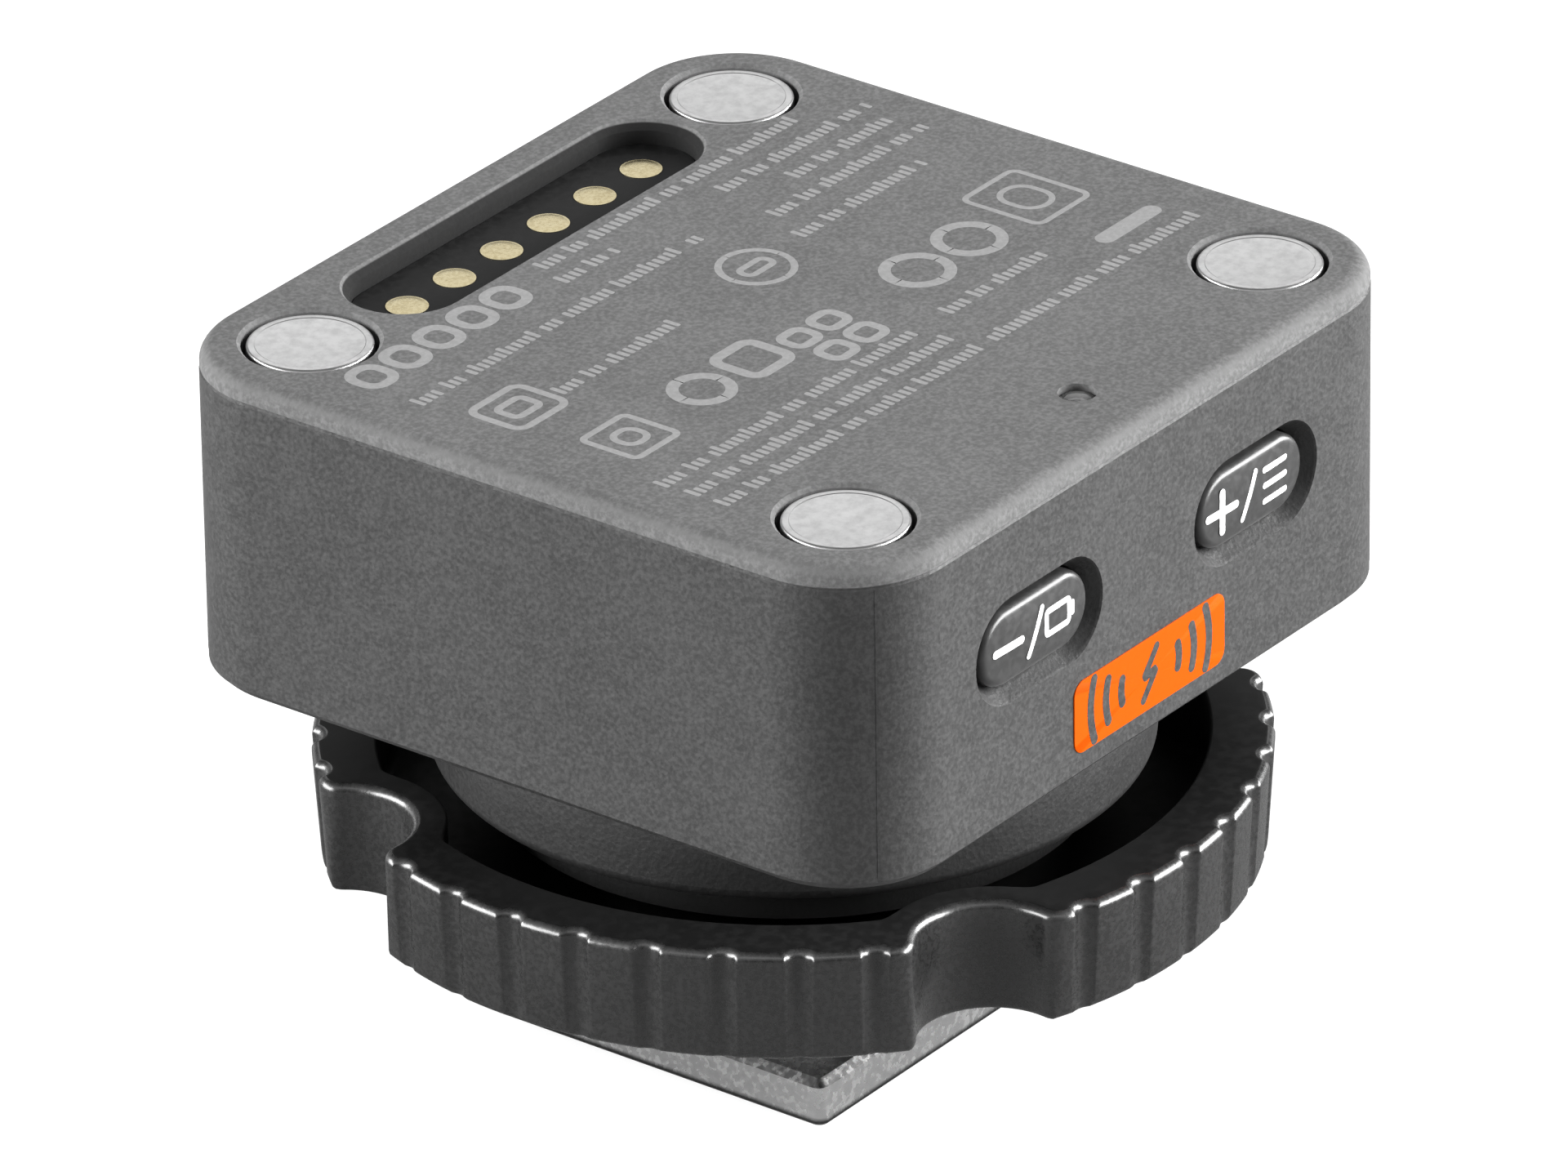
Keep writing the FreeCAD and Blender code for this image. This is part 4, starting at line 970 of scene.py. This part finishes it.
@dataclass(frozen=True)
class LockingRing:
    """Ring with four thumb notches and eight flutes between two of them.

    Sizes are in millimetres, angles in degrees from +X. The hub, the bore, the seat and the mouth
    are the turned inside, from the top down. There are as many columns as around says.
    """

    bottom: float = 7.15
    top: float = 11.9
    radius: float = 18.95
    draft: float = 0.25
    edge: float = 0.38
    foot_edge: float = 0.3
    notches: int = 4
    first_notch: float = 60.0
    notch_radius: float = 2.9
    notch_centre: float = 19.25
    nose: float = 0.9
    flutes: int = 8
    flute_pitch: float = 9.0
    flute_radius: float = 0.6
    flute_depth: float = 0.35
    flute_blend: float = 0.14
    opening: float = 16.4
    wall: float = 1.35
    lip: float = 0.12
    floor: float = 8.5
    hub_radius: float = 9.58
    hub_top: float = 11.0
    bore: float = 8.08
    seat_radius: float = 11.08
    seat_top: float = 7.8
    mouth_radius: float = 10.68
    mouth_top: float = 7.4
    around: int = 1760
    trace: int = 60001    # points that the outline's length is measured with
    floor_round: float = 0.4
    opening_blend: float = 0.7
    foot_blend: float = 0.08

    def from_notch(self, theta: np.ndarray) -> np.ndarray:
        """Angle from the nearest notch, without sign, radians."""
        pitch = 2 * np.pi / self.notches
        return np.abs((theta - np.radians(self.first_notch) + pitch / 2) % pitch - pitch / 2)

    def near_side(self, phi: np.ndarray, radius: float) -> np.ndarray:
        """Distance from the axis to the near side of a circle about the notch's centre.

        It is c cos(phi) less the root of r squared less c squared sin(phi) squared, and past the
        circle it is put beyond the ring.

        Args:
            phi: angles from the notch, radians.
            radius: radius of the circle.

        Returns:
            The distances.
        """
        room = radius**2 - (self.notch_centre * np.sin(phi)) ** 2
        near = self.notch_centre * np.cos(phi) - np.sqrt(np.maximum(room, 0))
        return np.where(room > 0, near, self.notch_centre + radius)

    def outline(self, theta: np.ndarray) -> np.ndarray:
        """Outer radius: flutes melted into the rim, notches joined to it by a round nose.

        The nose is a circle tangent to the rim from inside and to the notch from outside, so its
        centre is the rim radius less the nose from the axis and the notch radius plus the nose
        from the notch's centre.

        Args:
            theta: angles from +X, radians.

        Returns:
            Radii at those angles.
        """
        phi = self.from_notch(theta)
        spare = 360 / self.notches - (self.flutes - 1) * self.flute_pitch
        first, pitch = np.radians(spare / 2), np.radians(self.flute_pitch)
        index = np.clip(np.round((phi - first) / pitch), 0, self.flutes / 2)
        along = self.radius * np.abs(phi - first - index * pitch)
        middle = self.radius + self.flute_radius - self.flute_depth
        groove = middle - np.sqrt(np.maximum(self.flute_radius**2 - along**2, 0))
        groove = np.where(along < self.flute_radius, groove, middle)
        rim = smooth_min(np.full_like(phi, self.radius), groove, self.flute_blend)
        d1, d2, c = self.radius - self.nose, self.notch_radius + self.nose, self.notch_centre
        turn = self.nose_turn()
        toward = np.array([d1 * np.cos(turn) - c, d1 * np.sin(turn)]) * self.notch_radius / d2
        touch = np.arctan2(toward[1], c + toward[0])
        off = phi - turn
        nose = d1 * np.cos(off) + np.sqrt(np.maximum(self.nose**2 - (d1 * np.sin(off)) ** 2, 0))
        return np.where(phi < touch, self.near_side(phi, self.notch_radius), np.where(off < 0, nose, rim))

    def columns(self) -> np.ndarray:
        """Angles of the columns, spaced evenly along the outline.

        Returns:
            The angles, radians.
        """
        theta = np.linspace(0, 2 * np.pi, self.trace)
        r = self.outline(theta)
        step = np.hypot(np.diff(r * np.cos(theta)), np.diff(r * np.sin(theta)))
        length = np.concatenate([[0], np.cumsum(step)])
        return np.interp(np.arange(self.around) * length[-1] / self.around, length, theta)

    def inset(self, theta: np.ndarray, radii: np.ndarray, distance: float) -> np.ndarray:
        """Outline moved inwards.

        By the notches each point goes along its normal. Elsewhere the new radius on a ray is the
        least of the near crossings of that ray with circles, as large as the distance, about the
        points close by; that keeps the line from folding where a flute meets the rim.

        Args:
            theta: angles of the columns.
            radii: outer radius at each column.
            distance: how far to move, mm.

        Returns:
            (n, 2) points.
        """
        ray = np.stack([np.cos(theta), np.sin(theta)], -1)
        loop = ray * radii[:, None]
        if distance < SAME_PLACE:
            return loop
        tangent = np.roll(loop, -1, 0) - np.roll(loop, 1, 0)
        tangent /= np.linalg.norm(tangent, axis=1, keepdims=True)
        moved = loop + distance * np.stack([-tangent[:, 1], tangent[:, 0]], -1)
        reach = int(math.ceil(2.2 * distance * self.around / (2 * np.pi * self.radius)))
        near = (np.arange(self.around)[:, None] + np.arange(-reach, reach + 1)) % self.around
        gap = theta[near] - theta[:, None]
        room = distance**2 - (radii[near] * np.sin(gap)) ** 2
        cross = radii[near] * np.cos(gap) - np.sqrt(np.maximum(room, 0))
        least = np.where(room > 0, cross, np.inf).min(axis=1)
        return np.where((self.from_notch(theta) < self.nose_turn())[:, None], moved, ray * least[:, None])

    def nose_turn(self) -> float:
        """Angle from the notch to the middle of the nose beside it, radians."""
        d1, d2, c = self.radius - self.nose, self.notch_radius + self.nose, self.notch_centre
        return math.acos((d1**2 + c**2 - d2**2) / (2 * d1 * c))

    def surface(self) -> Surface:
        """Section carried round the axis, each level with its own outline.

        Returns:
            The ring; material 0 is its face and inside, 1 its outer wall.
        """
        theta = self.columns()
        ray = np.stack([np.cos(theta), np.sin(theta)], -1)
        r_top = self.outline(theta)
        inside = smooth_min(np.full_like(theta, self.opening),
                            self.near_side(self.from_notch(theta), self.notch_radius + self.wall),
                            self.opening_blend)
        rows: list[tuple[np.ndarray, float, int]] = []
        r_low = smooth_min(r_top, np.full_like(theta, self.radius - self.draft), self.foot_blend)
        for t in np.linspace(0, np.pi / 2, 4):
            back = self.foot_edge * (1 - math.sin(t))
            rows.append((self.inset(theta, r_low, back), self.bottom + self.foot_edge * (1 - math.cos(t)), 1))
        for t in np.linspace(0, np.pi / 2, 8):
            z = self.top - self.edge * (1 - math.sin(t))
            rows.append((self.inset(theta, r_top, self.edge * (1 - math.cos(t))), z, 1 if t < 1.2 else 0))
        for t in np.linspace(np.pi / 2, 0, 5):
            r = inside + self.lip * (1 - math.cos(t))
            rows.append((ray * r[:, None], self.top - self.lip * (1 - math.sin(t)), 0))
        for t in np.linspace(0, np.pi / 2, 5):
            r = inside - self.floor_round * (1 - math.cos(t))
            rows.append((ray * r[:, None], self.floor + self.floor_round * (1 - math.sin(t)), 0))
        section = np.array([
            [self.hub_radius + 0.3, self.floor], [self.hub_radius, self.floor + 0.3],
            [self.hub_radius, self.hub_top - 0.15], [self.hub_radius - 0.15, self.hub_top],
            [self.bore + 0.15, self.hub_top], [self.bore, self.hub_top - 0.15],
            [self.bore, self.seat_top], [self.seat_radius, self.seat_top],
            [self.seat_radius, self.mouth_top], [self.mouth_radius, self.mouth_top],
            [self.mouth_radius, self.bottom + 0.1], [self.mouth_radius + 0.1, self.bottom],
        ])
        rows += [(ray * r, z, 0) for r, z in section]
        grid = np.stack([np.hstack([loop, np.full((len(loop), 1), z)]) for loop, z, _ in rows])
        return skin(grid, Ends.LOOP, np.array([finish for _, _, finish in rows]))

    def build(self) -> None:
        """Makes the ring and dresses the plate under it."""
        materials = [RING_FACE.material("ring_face"), RING_WALL.material()]
        ring = ("locking_ring",)
        add_piece("ring_body", self.surface(), materials, Body.RING.value, ring, FINE_EDGE)
        dress("pad_plastic", ["pressure_plate"])


@dataclass(frozen=True)
class Keys:
    """Two pill-shaped keys with printed marks. Sizes in millimetres."""

    x: float = 7.1
    z: float = 24.25
    front: float = -17.15
    width: float = 6.9
    height: float = 3.2
    edge: float = 0.32
    crown: float = 0.1
    flange: Pair = (8.1, 4.4)
    flange_levels: Pair = (1.35, 1.95)
    post: float = 1.8
    post_end: float = 2.75
    stroke: float = 0.34
    thin_stroke: float = 0.26
    print_height: float = 0.012

    def side(self, x: float) -> Side:
        """Front face of the key at an x."""
        return Side((x, self.front, self.z), (1, 0, 0), (0, 0, 1), (0, -1, 0))

    def cap(self) -> Surface:
        """Key from its post to its crown: rounded rectangles stacked towards the front.

        The rim is a quarter round, and inside it the face is a low dome, one less the square of
        the share of the way out.

        Returns:
            The key in (u, v, w), its front rim at w = 0.
        """
        w0, w1 = self.flange_levels
        back = np.array([
            [self.post, self.post, ROUND, -self.post_end], [self.post, self.post, ROUND, -w1],
            [*self.flange, ROUND, -w1], [*self.flange, ROUND, -w0],
            [self.width, self.height, ROUND, -w0],
        ])
        t = np.linspace(0, np.pi / 2, 7)[:, None]
        take = 2 * self.edge * (1 - np.cos(t))
        rim = np.hstack([self.width - take, self.height - take, np.full_like(t, ROUND),
                         -self.crown - self.edge * (1 - np.sin(t))])
        share = np.linspace(0.93, 0.05, 9)[:, None]
        face = np.hstack([(self.width - 2 * self.edge) * share, (self.height - 2 * self.edge) * share,
                          np.full_like(share, ROUND), -self.crown * share**2])
        return stacked_pills(np.vstack([back, rim, face]))

    def lift(self, stroke: Surface) -> Surface:
        """A printed mark raised onto the dome of the face.

        Args:
            stroke: the mark on a flat face.

        Returns:
            The mark, lower by the crown times the square of the share of the way out.
        """
        u, v = stroke.points[:, 0], stroke.points[:, 1]
        away = np.clip(np.maximum(np.abs(u) / (self.width / 2), np.abs(v) / (self.height / 2)), 0, 1)
        return stroke.moved(stroke.points + np.stack([0 * u, 0 * v, -self.crown * away**2], -1))

    def bar(self, a: Pair, b: Pair, width: float, extra: float = 0.0) -> Surface:
        """Straight printed stroke between two points of the face."""
        return self.lift(ribbon(np.linspace(a, b, 12), width, self.print_height + extra))

    def slash(self, shift: float) -> Surface:
        """Leaning stroke between the two marks of a key."""
        return self.bar((shift - 0.5, -0.98), (shift + 0.48, 0.98), self.thin_stroke, 0.002)

    def minus_marks(self) -> Surface:
        """Minus sign, slash and an upright cell outline.

        Returns:
            The marks in (u, v, w).
        """
        cell = pill(np.array([1.5]), np.array([0.98]), np.array([0.14]), 4)[0] + (1.33, 0.05)
        outline = self.lift(ribbon(cell, self.thin_stroke, self.print_height, closed=True))
        cap = self.bar((2.3, -0.28), (2.3, 0.38), self.thin_stroke, 0.002)
        return many([self.bar((-2.8, 0.05), (-0.85, 0.05), self.stroke), self.slash(-0.1), outline, cap])

    def plus_marks(self) -> Surface:
        """Plus sign, slash and a list of three lines.

        Returns:
            The marks in (u, v, w).
        """
        lines = [self.bar((0.6, v), (2.25, v), self.thin_stroke) for v in (-0.68, 0.0, 0.68)]
        upright = self.bar((-2.05, -1.0), (-2.05, 1.0), self.stroke, 0.002)
        return many([self.bar((-3.1, 0), (-1.0, 0), self.stroke), upright, self.slash(-0.28), *lines])

    def build(self) -> None:
        """Makes both keys and their marks, and dresses the switches behind them."""
        dark, white = BY_SLOT["button_plastic"].material(), KEY_PRINT.material("key_print")
        for name, x, marks in (("minus", -self.x, self.minus_marks()), ("plus", self.x, self.plus_marks())):
            side, body = self.side(x), f"{name}_button"
            add_piece(f"{name}_key", side.laid(self.cap()), [dark], body, (body,))
            add_piece(f"{name}_key_marks", side.laid(marks), [white], body)
        dress("switch_body", ["minus_switch", "plus_switch"])
        dress("switch_plunger", ["minus_plunger", "plus_plunger"])


@dataclass(frozen=True)
class Case:
    """Shell and cover with their print, label and mould lines. Sizes in millimetres."""

    width: float = 35.9
    depth: float = 34.5
    bottom: float = 16.75
    top: float = 30.55
    corner: float = 4.6
    label_z: float = 19.45
    label_size: Pair = (9.9, 3.1)
    label_corner: float = 0.6
    label_thickness: float = 0.052
    print_height: float = 0.003
    print_tall: float = 0.78
    line_width: float = 0.07
    line_height: float = 0.012

    def mould_lines(self) -> Surface:
        """Hairline ribs down the four rounded corners, where the mould parts.

        Returns:
            The ribs.
        """
        levels = (self.bottom + 0.5, self.top - 1.0)
        lines = []
        for sx, sy, degrees in ((-1, -1, 232), (1, -1, 308), (1, 1, 52), (-1, 1, 128)):
            a = math.radians(degrees)
            x = sx * (self.width / 2 - self.corner) + self.corner * math.cos(a)
            y = sy * (self.depth / 2 - self.corner) + self.corner * math.sin(a)
            out = (math.cos(a), math.sin(a), 0.0)
            side = Side((x, y, 0.0), (-out[1], out[0], 0.0), (0.0, 0.0, 1.0), out)
            path = np.linspace((0.0, levels[0]), (0.0, levels[1]), 3)
            lines.append(side.laid(ribbon(path, self.line_width, self.line_height)))
        return many(lines)

    def label(self) -> Surface:
        """Label plate: two rounded rectangles with a slightly smaller face.

        Returns:
            The plate.
        """
        width, height = self.label_size
        sizes = [[width, height, self.label_corner, 0.0],
                 [width, height, self.label_corner, self.label_thickness - 0.015],
                 [width - 0.03, height - 0.03, self.label_corner, self.label_thickness]]
        return self.front().laid(stacked_pills(np.array(sizes), 8))

    def front(self) -> Side:
        """Front face, centred on the label."""
        return Side((0.0, -self.depth / 2, self.label_z), (1, 0, 0), (0, 0, 1), (0, -1, 0))

    def label_marks(self) -> Surface:
        """Radio arcs either side of a bolt of lightning, in the colour of the case.

        Returns:
            The marks.
        """
        height = self.label_thickness + 0.006
        bolt = ((0.55, 1.15, -0.45, -0.1), (0.45, 0.1, -0.55, -1.15), (-0.45, -0.1, 0.45, 0.1))
        parts = [ribbon(np.linspace(line[:2], line[2:], 6), 0.36, height - 0.001 * k)
                 for k, line in enumerate(bolt)]
        for side, middle in ((1, 0), (-1, 180)):
            for radius in (1.7, 2.7, 3.7):
                path = arc_path((side * 0.2, 0.0), radius, middle - 24, middle + 24)
                parts.append(ribbon(path, 0.42, height))
        return self.front().laid(many(parts))

    def filler(self, start: float, end: float, level: float, tall: float) -> Surface:
        """Row of upright ticks of three heights, with gaps as between words.

        Args:
            start: where the row starts along u.
            end: where it ends.
            level: middle of the row along v.
            tall: height of the tallest tick.

        Returns:
            The row in (u, v, w).
        """
        pitch = 0.46 * tall
        count = np.arange(int((end - start) / pitch))
        count = count[(count % 13 != 8) & (count % 21 != 4)]
        heights = np.array([1.0, 0.74, 0.74, 0.92, 0.74])[(count * count) % 5]
        tick = stacked_pills(np.array([[0.29, 1.0, 0.1, 0.0], [0.29, 1.0, 0.1, self.print_height]]), 3)
        scales = np.stack([np.full(len(count), tall), heights * tall, np.ones(len(count))], -1)
        shifts = np.stack([start + count * pitch, level + (heights - 1) * tall / 2, 0.0 * count], -1)
        return copies(tick, scales, shifts)

    def box(self, u: float, v: float, width: float, height: float, corner: float, stroke: float) -> Surface:
        """Printed outline of a rounded rectangle about (u, v)."""
        path = pill(np.array([width]), np.array([height]), np.array([corner]), 8)[0] + (u, v)
        return ribbon(path, stroke, self.print_height, closed=True)

    def top_print(self) -> Surface:
        """Filler marks in place of the small print on such a cover: ticks, boxes and rings.

        Each row of ticks is given by its start, end and level; each box by its middle, width,
        height, corner radius and stroke.

        Returns:
            The print on the cover.
        """
        rows = ((-15.3, 2.8, 6.2), (-11.4, -3.7, 2.4), (-3.2, 13.7, 9.6), (-3.7, 0.2, 8.2),
                (6.4, 16.4, 8.0), (9.0, 15.6, 6.5), (5.8, 16.2, 5.0), (4.9, 13.3, 3.1), (-15.4, 1.0, -5.6),
                (-15.3, 1.4, -7.0), (-15.3, 16.0, -8.4), (2.8, 9.6, -5.6))
        boxes = [(-14.6 + 2.1 * k, 9.0, 1.45, 1.6, 0.6, 0.46) for k in range(5)]
        boxes += [(-8.1, -2.0, 2.3, 2.3, 1.15, 0.5), (-4.9, -2.0, 2.3, 2.3, 0.5, 0.5)]
        boxes += [(-2.4 + 1.9 * i, -2.4 - 1.8 * j, 1.3, 1.2, 0.4, 0.42) for i in (0, 1) for j in (0, 1)]
        boxes += [
            (5.0, -2.6, 2.6, 2.6, 1.3, 0.5), (8.4, -2.6, 2.6, 2.6, 1.3, 0.5),
            (-13.4, 2.8, 3.0, 2.6, 0.5, 0.34), (-13.4, 2.8, 1.5, 1.1, 0.3, 0.34),
            (-12.9, -2.2, 2.7, 2.7, 0.3, 0.3), (-12.9, -2.2, 1.2, 1.2, 0.5, 0.3),
            (1.6, 2.7, 3.0, 3.0, 1.5, 0.3), (1.6, 2.7, 1.6, 0.7, 0.3, 0.3),
            (12.7, -2.2, 3.4, 3.8, 0.4, 0.26), (12.7, -2.2, 1.7, 2.1, 0.8, 0.26),
        ]
        parts = [self.filler(start, end, level, self.print_tall) for start, end, level in rows]
        parts += [self.box(*box) for box in boxes]
        parts.append(ribbon(np.linspace((11.1, -6.9), (15.0, -6.9), 3), 0.85, self.print_height))
        return Side((0.0, 0.0, self.top), (1, 0, 0), (0, 1, 0), (0, 0, 1)).laid(many(parts))

    def build(self) -> None:
        """Dresses the shell and the cover and makes what is printed on them."""
        dress("shell_plastic", ["main_shell"])
        dress("cover_plastic", ["top_cover"])
        dress("screw_steel", ["case_screws"])
        shell, orange = BODY_PLASTIC.material(), BY_SLOT["label_print"].material()
        root = Body.ROOT.value
        add_piece("mould_lines", self.mould_lines(), [shell], root)
        add_piece("label_plate", self.label(), [orange], root, ("side_label",))
        add_piece("label_marks", self.label_marks(), [shell], root)
        add_piece("cover_print", self.top_print(), [FAINT_PRINT.material("faint_print")], root)


@dataclass(frozen=True)
class CoverFittings:
    """Magnets, contacts and light in the cover. Sizes in millimetres."""

    magnet: Pair = (13.5, 12.9)
    magnet_radius: float = 2.5
    magnet_levels: Pair = (28.95, 30.45)
    contact_y: float = 12.87
    contact_pitch: float = 3.0
    contact_radius: float = 0.85
    contact_levels: Pair = (28.05, 29.65)
    light_y: float = -13.9
    light_radius: float = 0.72
    light_levels: Pair = (23.65, 30.45)
    light_dome: float = 0.28
    light_flange: tuple[float, float, float] = (1.12, 28.75, 29.35)

    def magnet_disc(self, x: float, y: float) -> Surface:
        """Plated disc with a rounded rim and a shallow turned step inside it.

        Args:
            x: where its middle is along X.
            y: where its middle is along Y.

        Returns:
            The disc.
        """
        low, high = self.magnet_levels
        corners = np.array([[0.4, low], [self.magnet_radius, low], [self.magnet_radius, high],
                            [self.magnet_radius - 0.32, high], [self.magnet_radius - 0.36, high - 0.02],
                            [0.05, high - 0.02]])
        line = soften(corners, (0, 0.12, 0.14, 0.04, 0.02, 0))
        return lathe(line, (x, y), 128)

    def contact(self, x: float) -> Surface:
        """Gold pin whose face is a low dome, lower by the fourth power of the share of the way out.

        Args:
            x: where its middle is along X.

        Returns:
            The pin.
        """
        low, high = self.contact_levels
        edge = np.array([[0.2, low], [self.contact_radius, low], [self.contact_radius, high - 0.03]])
        line = soften(edge, (0, 0.05, 0))
        share = np.linspace(1, 0.04, 12)[:, None]
        dome = np.hstack([share * (self.contact_radius - 0.05), high - 0.03 * share**4])
        return lathe(np.vstack([line, dome]), (x, self.contact_y), 64)

    def lens(self) -> Surface:
        """Clear rod with its flange under the cover and a flattened sphere for its top.

        Returns:
            The rod.
        """
        low, high = self.light_levels
        flange, f0, f1 = self.light_flange
        r = self.light_radius
        base = high - self.light_dome
        body = np.array([[0.1, low], [r, low], [r, f0], [flange, f0], [flange, f1], [r, f1], [r, base]])
        share = np.cos(np.linspace(0.12, np.pi / 2 - 0.04, 14))[:, None]
        dome = np.hstack([share * r, base + self.light_dome * np.sqrt(1 - share**2)])
        return lathe(np.vstack([body, dome]), (0.0, self.light_y), 72)

    def build(self) -> None:
        """Makes the fittings and dresses the contact block."""
        nickel, gold = BY_SLOT["magnet_nickel"].material(), BY_SLOT["gold_contact"].material()
        clear, root = BY_SLOT["clear_lens"].material(), Body.ROOT.value
        for end, sy in (("front", -1), ("rear", 1)):
            for hand, sx in (("left", -1), ("right", 1)):
                name = f"magnet_{end}_{hand}"
                disc = self.magnet_disc(sx * self.magnet[0], sy * self.magnet[1])
                add_piece(f"{name}_disc", disc, [nickel], root, (name,), FINE_EDGE)
        for index in range(6):
            pin = self.contact((index - 2.5) * self.contact_pitch)
            name = f"top_contact_{index + 1}"
            add_piece(f"{name}_pin", pin, [gold], root, (name,))
        add_piece("status_lens", self.lens(), [clear], root, ("light_pipe",))
        dress("insert_plastic", ["contact_block"])


@dataclass(frozen=True)
class Foot:
    """Shoe foot with its sprung pins. Sizes in millimetres."""

    shift: float = 0.7
    centre_radius: float = 1.1
    small_radius: float = 0.6
    small_pitch: float = 2.5
    setback: float = 4.7
    head_rim: float = 0.3
    head_levels: Pair = (2.6, 3.4)

    def pin(self, x: float, y: float, radius: float) -> Surface:
        """Gold pin: domed tip, shank and a head that stops it falling out.

        Args:
            x: where its middle is along X.
            y: where its middle is along Y.
            radius: radius of the shank; the dome is seven tenths as high as that.

        Returns:
            The pin.
        """
        low, high = self.head_levels
        t = np.linspace(0.04, np.pi / 2, 12)
        tip = np.stack([radius * np.sin(t), 0.7 * radius * (1 - np.cos(t))], -1)
        rim = radius + self.head_rim
        head = np.array([[radius, low], [rim, low], [rim, high], [0.1, high]])
        head = soften(head, (0, 0.04, 0.08, 0))
        return lathe(np.vstack([tip, head]), (x, y), 64)

    def build(self) -> None:
        """Makes the pins and dresses the metal, the insert, the stem and the screws."""
        gold = BY_SLOT["gold_contact"].material()
        places = {"centre": (0.0, self.shift, self.centre_radius)}
        for index in range(4):
            x = (index - 1.5) * self.small_pitch
            places[f"small_{index + 1}"] = (x, self.shift - self.setback, self.small_radius)
        for name, (x, y, radius) in places.items():
            body = f"shoe_pin_{name}"
            add_piece(f"{body}_tip", self.pin(x, y, radius), [gold], body, (body,))
        dress("spring_steel", [f"pin_spring_{name}" for name in places])
        dress("foot_metal", ["foot_plate"])
        dress("insert_plastic", ["contact_insert"])
        dress("screw_steel", ["foot_screws", "stem_screws"])
        dress("stem_plastic", ["threaded_stem"])
        dress("circuit_board", ["contact_board"])
        dress("flex_film", ["foot_flex"])


@dataclass(frozen=True)
class ChargingSocket:
    """Metal socket with a rolled mouth. Sizes in millimetres."""

    mouth: float = 17.55
    length: float = 7.3
    z: float = 24.45
    width: float = 8.94
    height: float = 3.2
    wall: float = 0.3
    roll: float = 0.12
    bevel: float = 0.15

    def shell(self) -> Surface:
        """Outside from the back to the mouth, round the rolled lip, and the inside back again.

        Returns:
            The shell.
        """
        side = Side((self.mouth, 0.0, self.z), (0, 1, 0), (0, 0, 1), (1, 0, 0))
        t = np.linspace(0, np.pi, 9)[:, None]
        inset = self.wall * (1 - np.cos(t))
        edge = self.roll * (np.sin(t) - 1)
        lip = np.hstack([self.width - inset, self.height - inset, np.full_like(t, ROUND), edge])
        back = [[self.width - 2 * self.bevel, self.height - 2 * self.bevel, ROUND, -self.length],
                [self.width, self.height, ROUND, self.bevel - self.length]]
        inner = [self.width - 2 * self.wall, self.height - 2 * self.wall, ROUND, self.wall - self.length]
        rows = np.vstack([back, lip, [inner]])
        return side.laid(stacked_pills(rows, 14))

    def build(self) -> None:
        """Makes the shell and dresses the tongue."""
        metal = BY_SLOT["can_metal"].material()
        add_piece("socket_shell", self.shell(), [metal], Body.ROOT.value, ("usb_shell",))
        dress("insert_plastic", ["usb_tongue"])


@dataclass(frozen=True)
class Inside:
    """Boards, cell and small parts that the case hides."""

    nodes: tuple[tuple[str, tuple[str, ...]], ...] = (
        ("circuit_board", ("main_board",)),
        ("battery_wrap", ("battery_cell",)),
        ("foam", ("battery_foam",)),
        ("can_metal", ("shield_can",)),
        ("ceramic", ("chip_antenna",)),
        ("led_resin", ("status_led",)),
        ("insert_plastic", ("flex_connector",)),
        ("flex_film", ("top_flex",)),
    )

    def build(self) -> None:
        """Dresses every hidden node."""
        for slot, names in self.nodes:
            dress(slot, list(names))


def main() -> None:
    """Builds the stage and every sub-assembly in order."""
    logging.basicConfig(level=logging.INFO, format="%(message)s")
    for kind in (Studio, Case, CoverFittings, Keys, LockingRing, Foot, ChargingSocket, Inside):
        LOG.info("building %s", kind.__name__)
        kind().build()


if __name__ == "__main__":
    main()
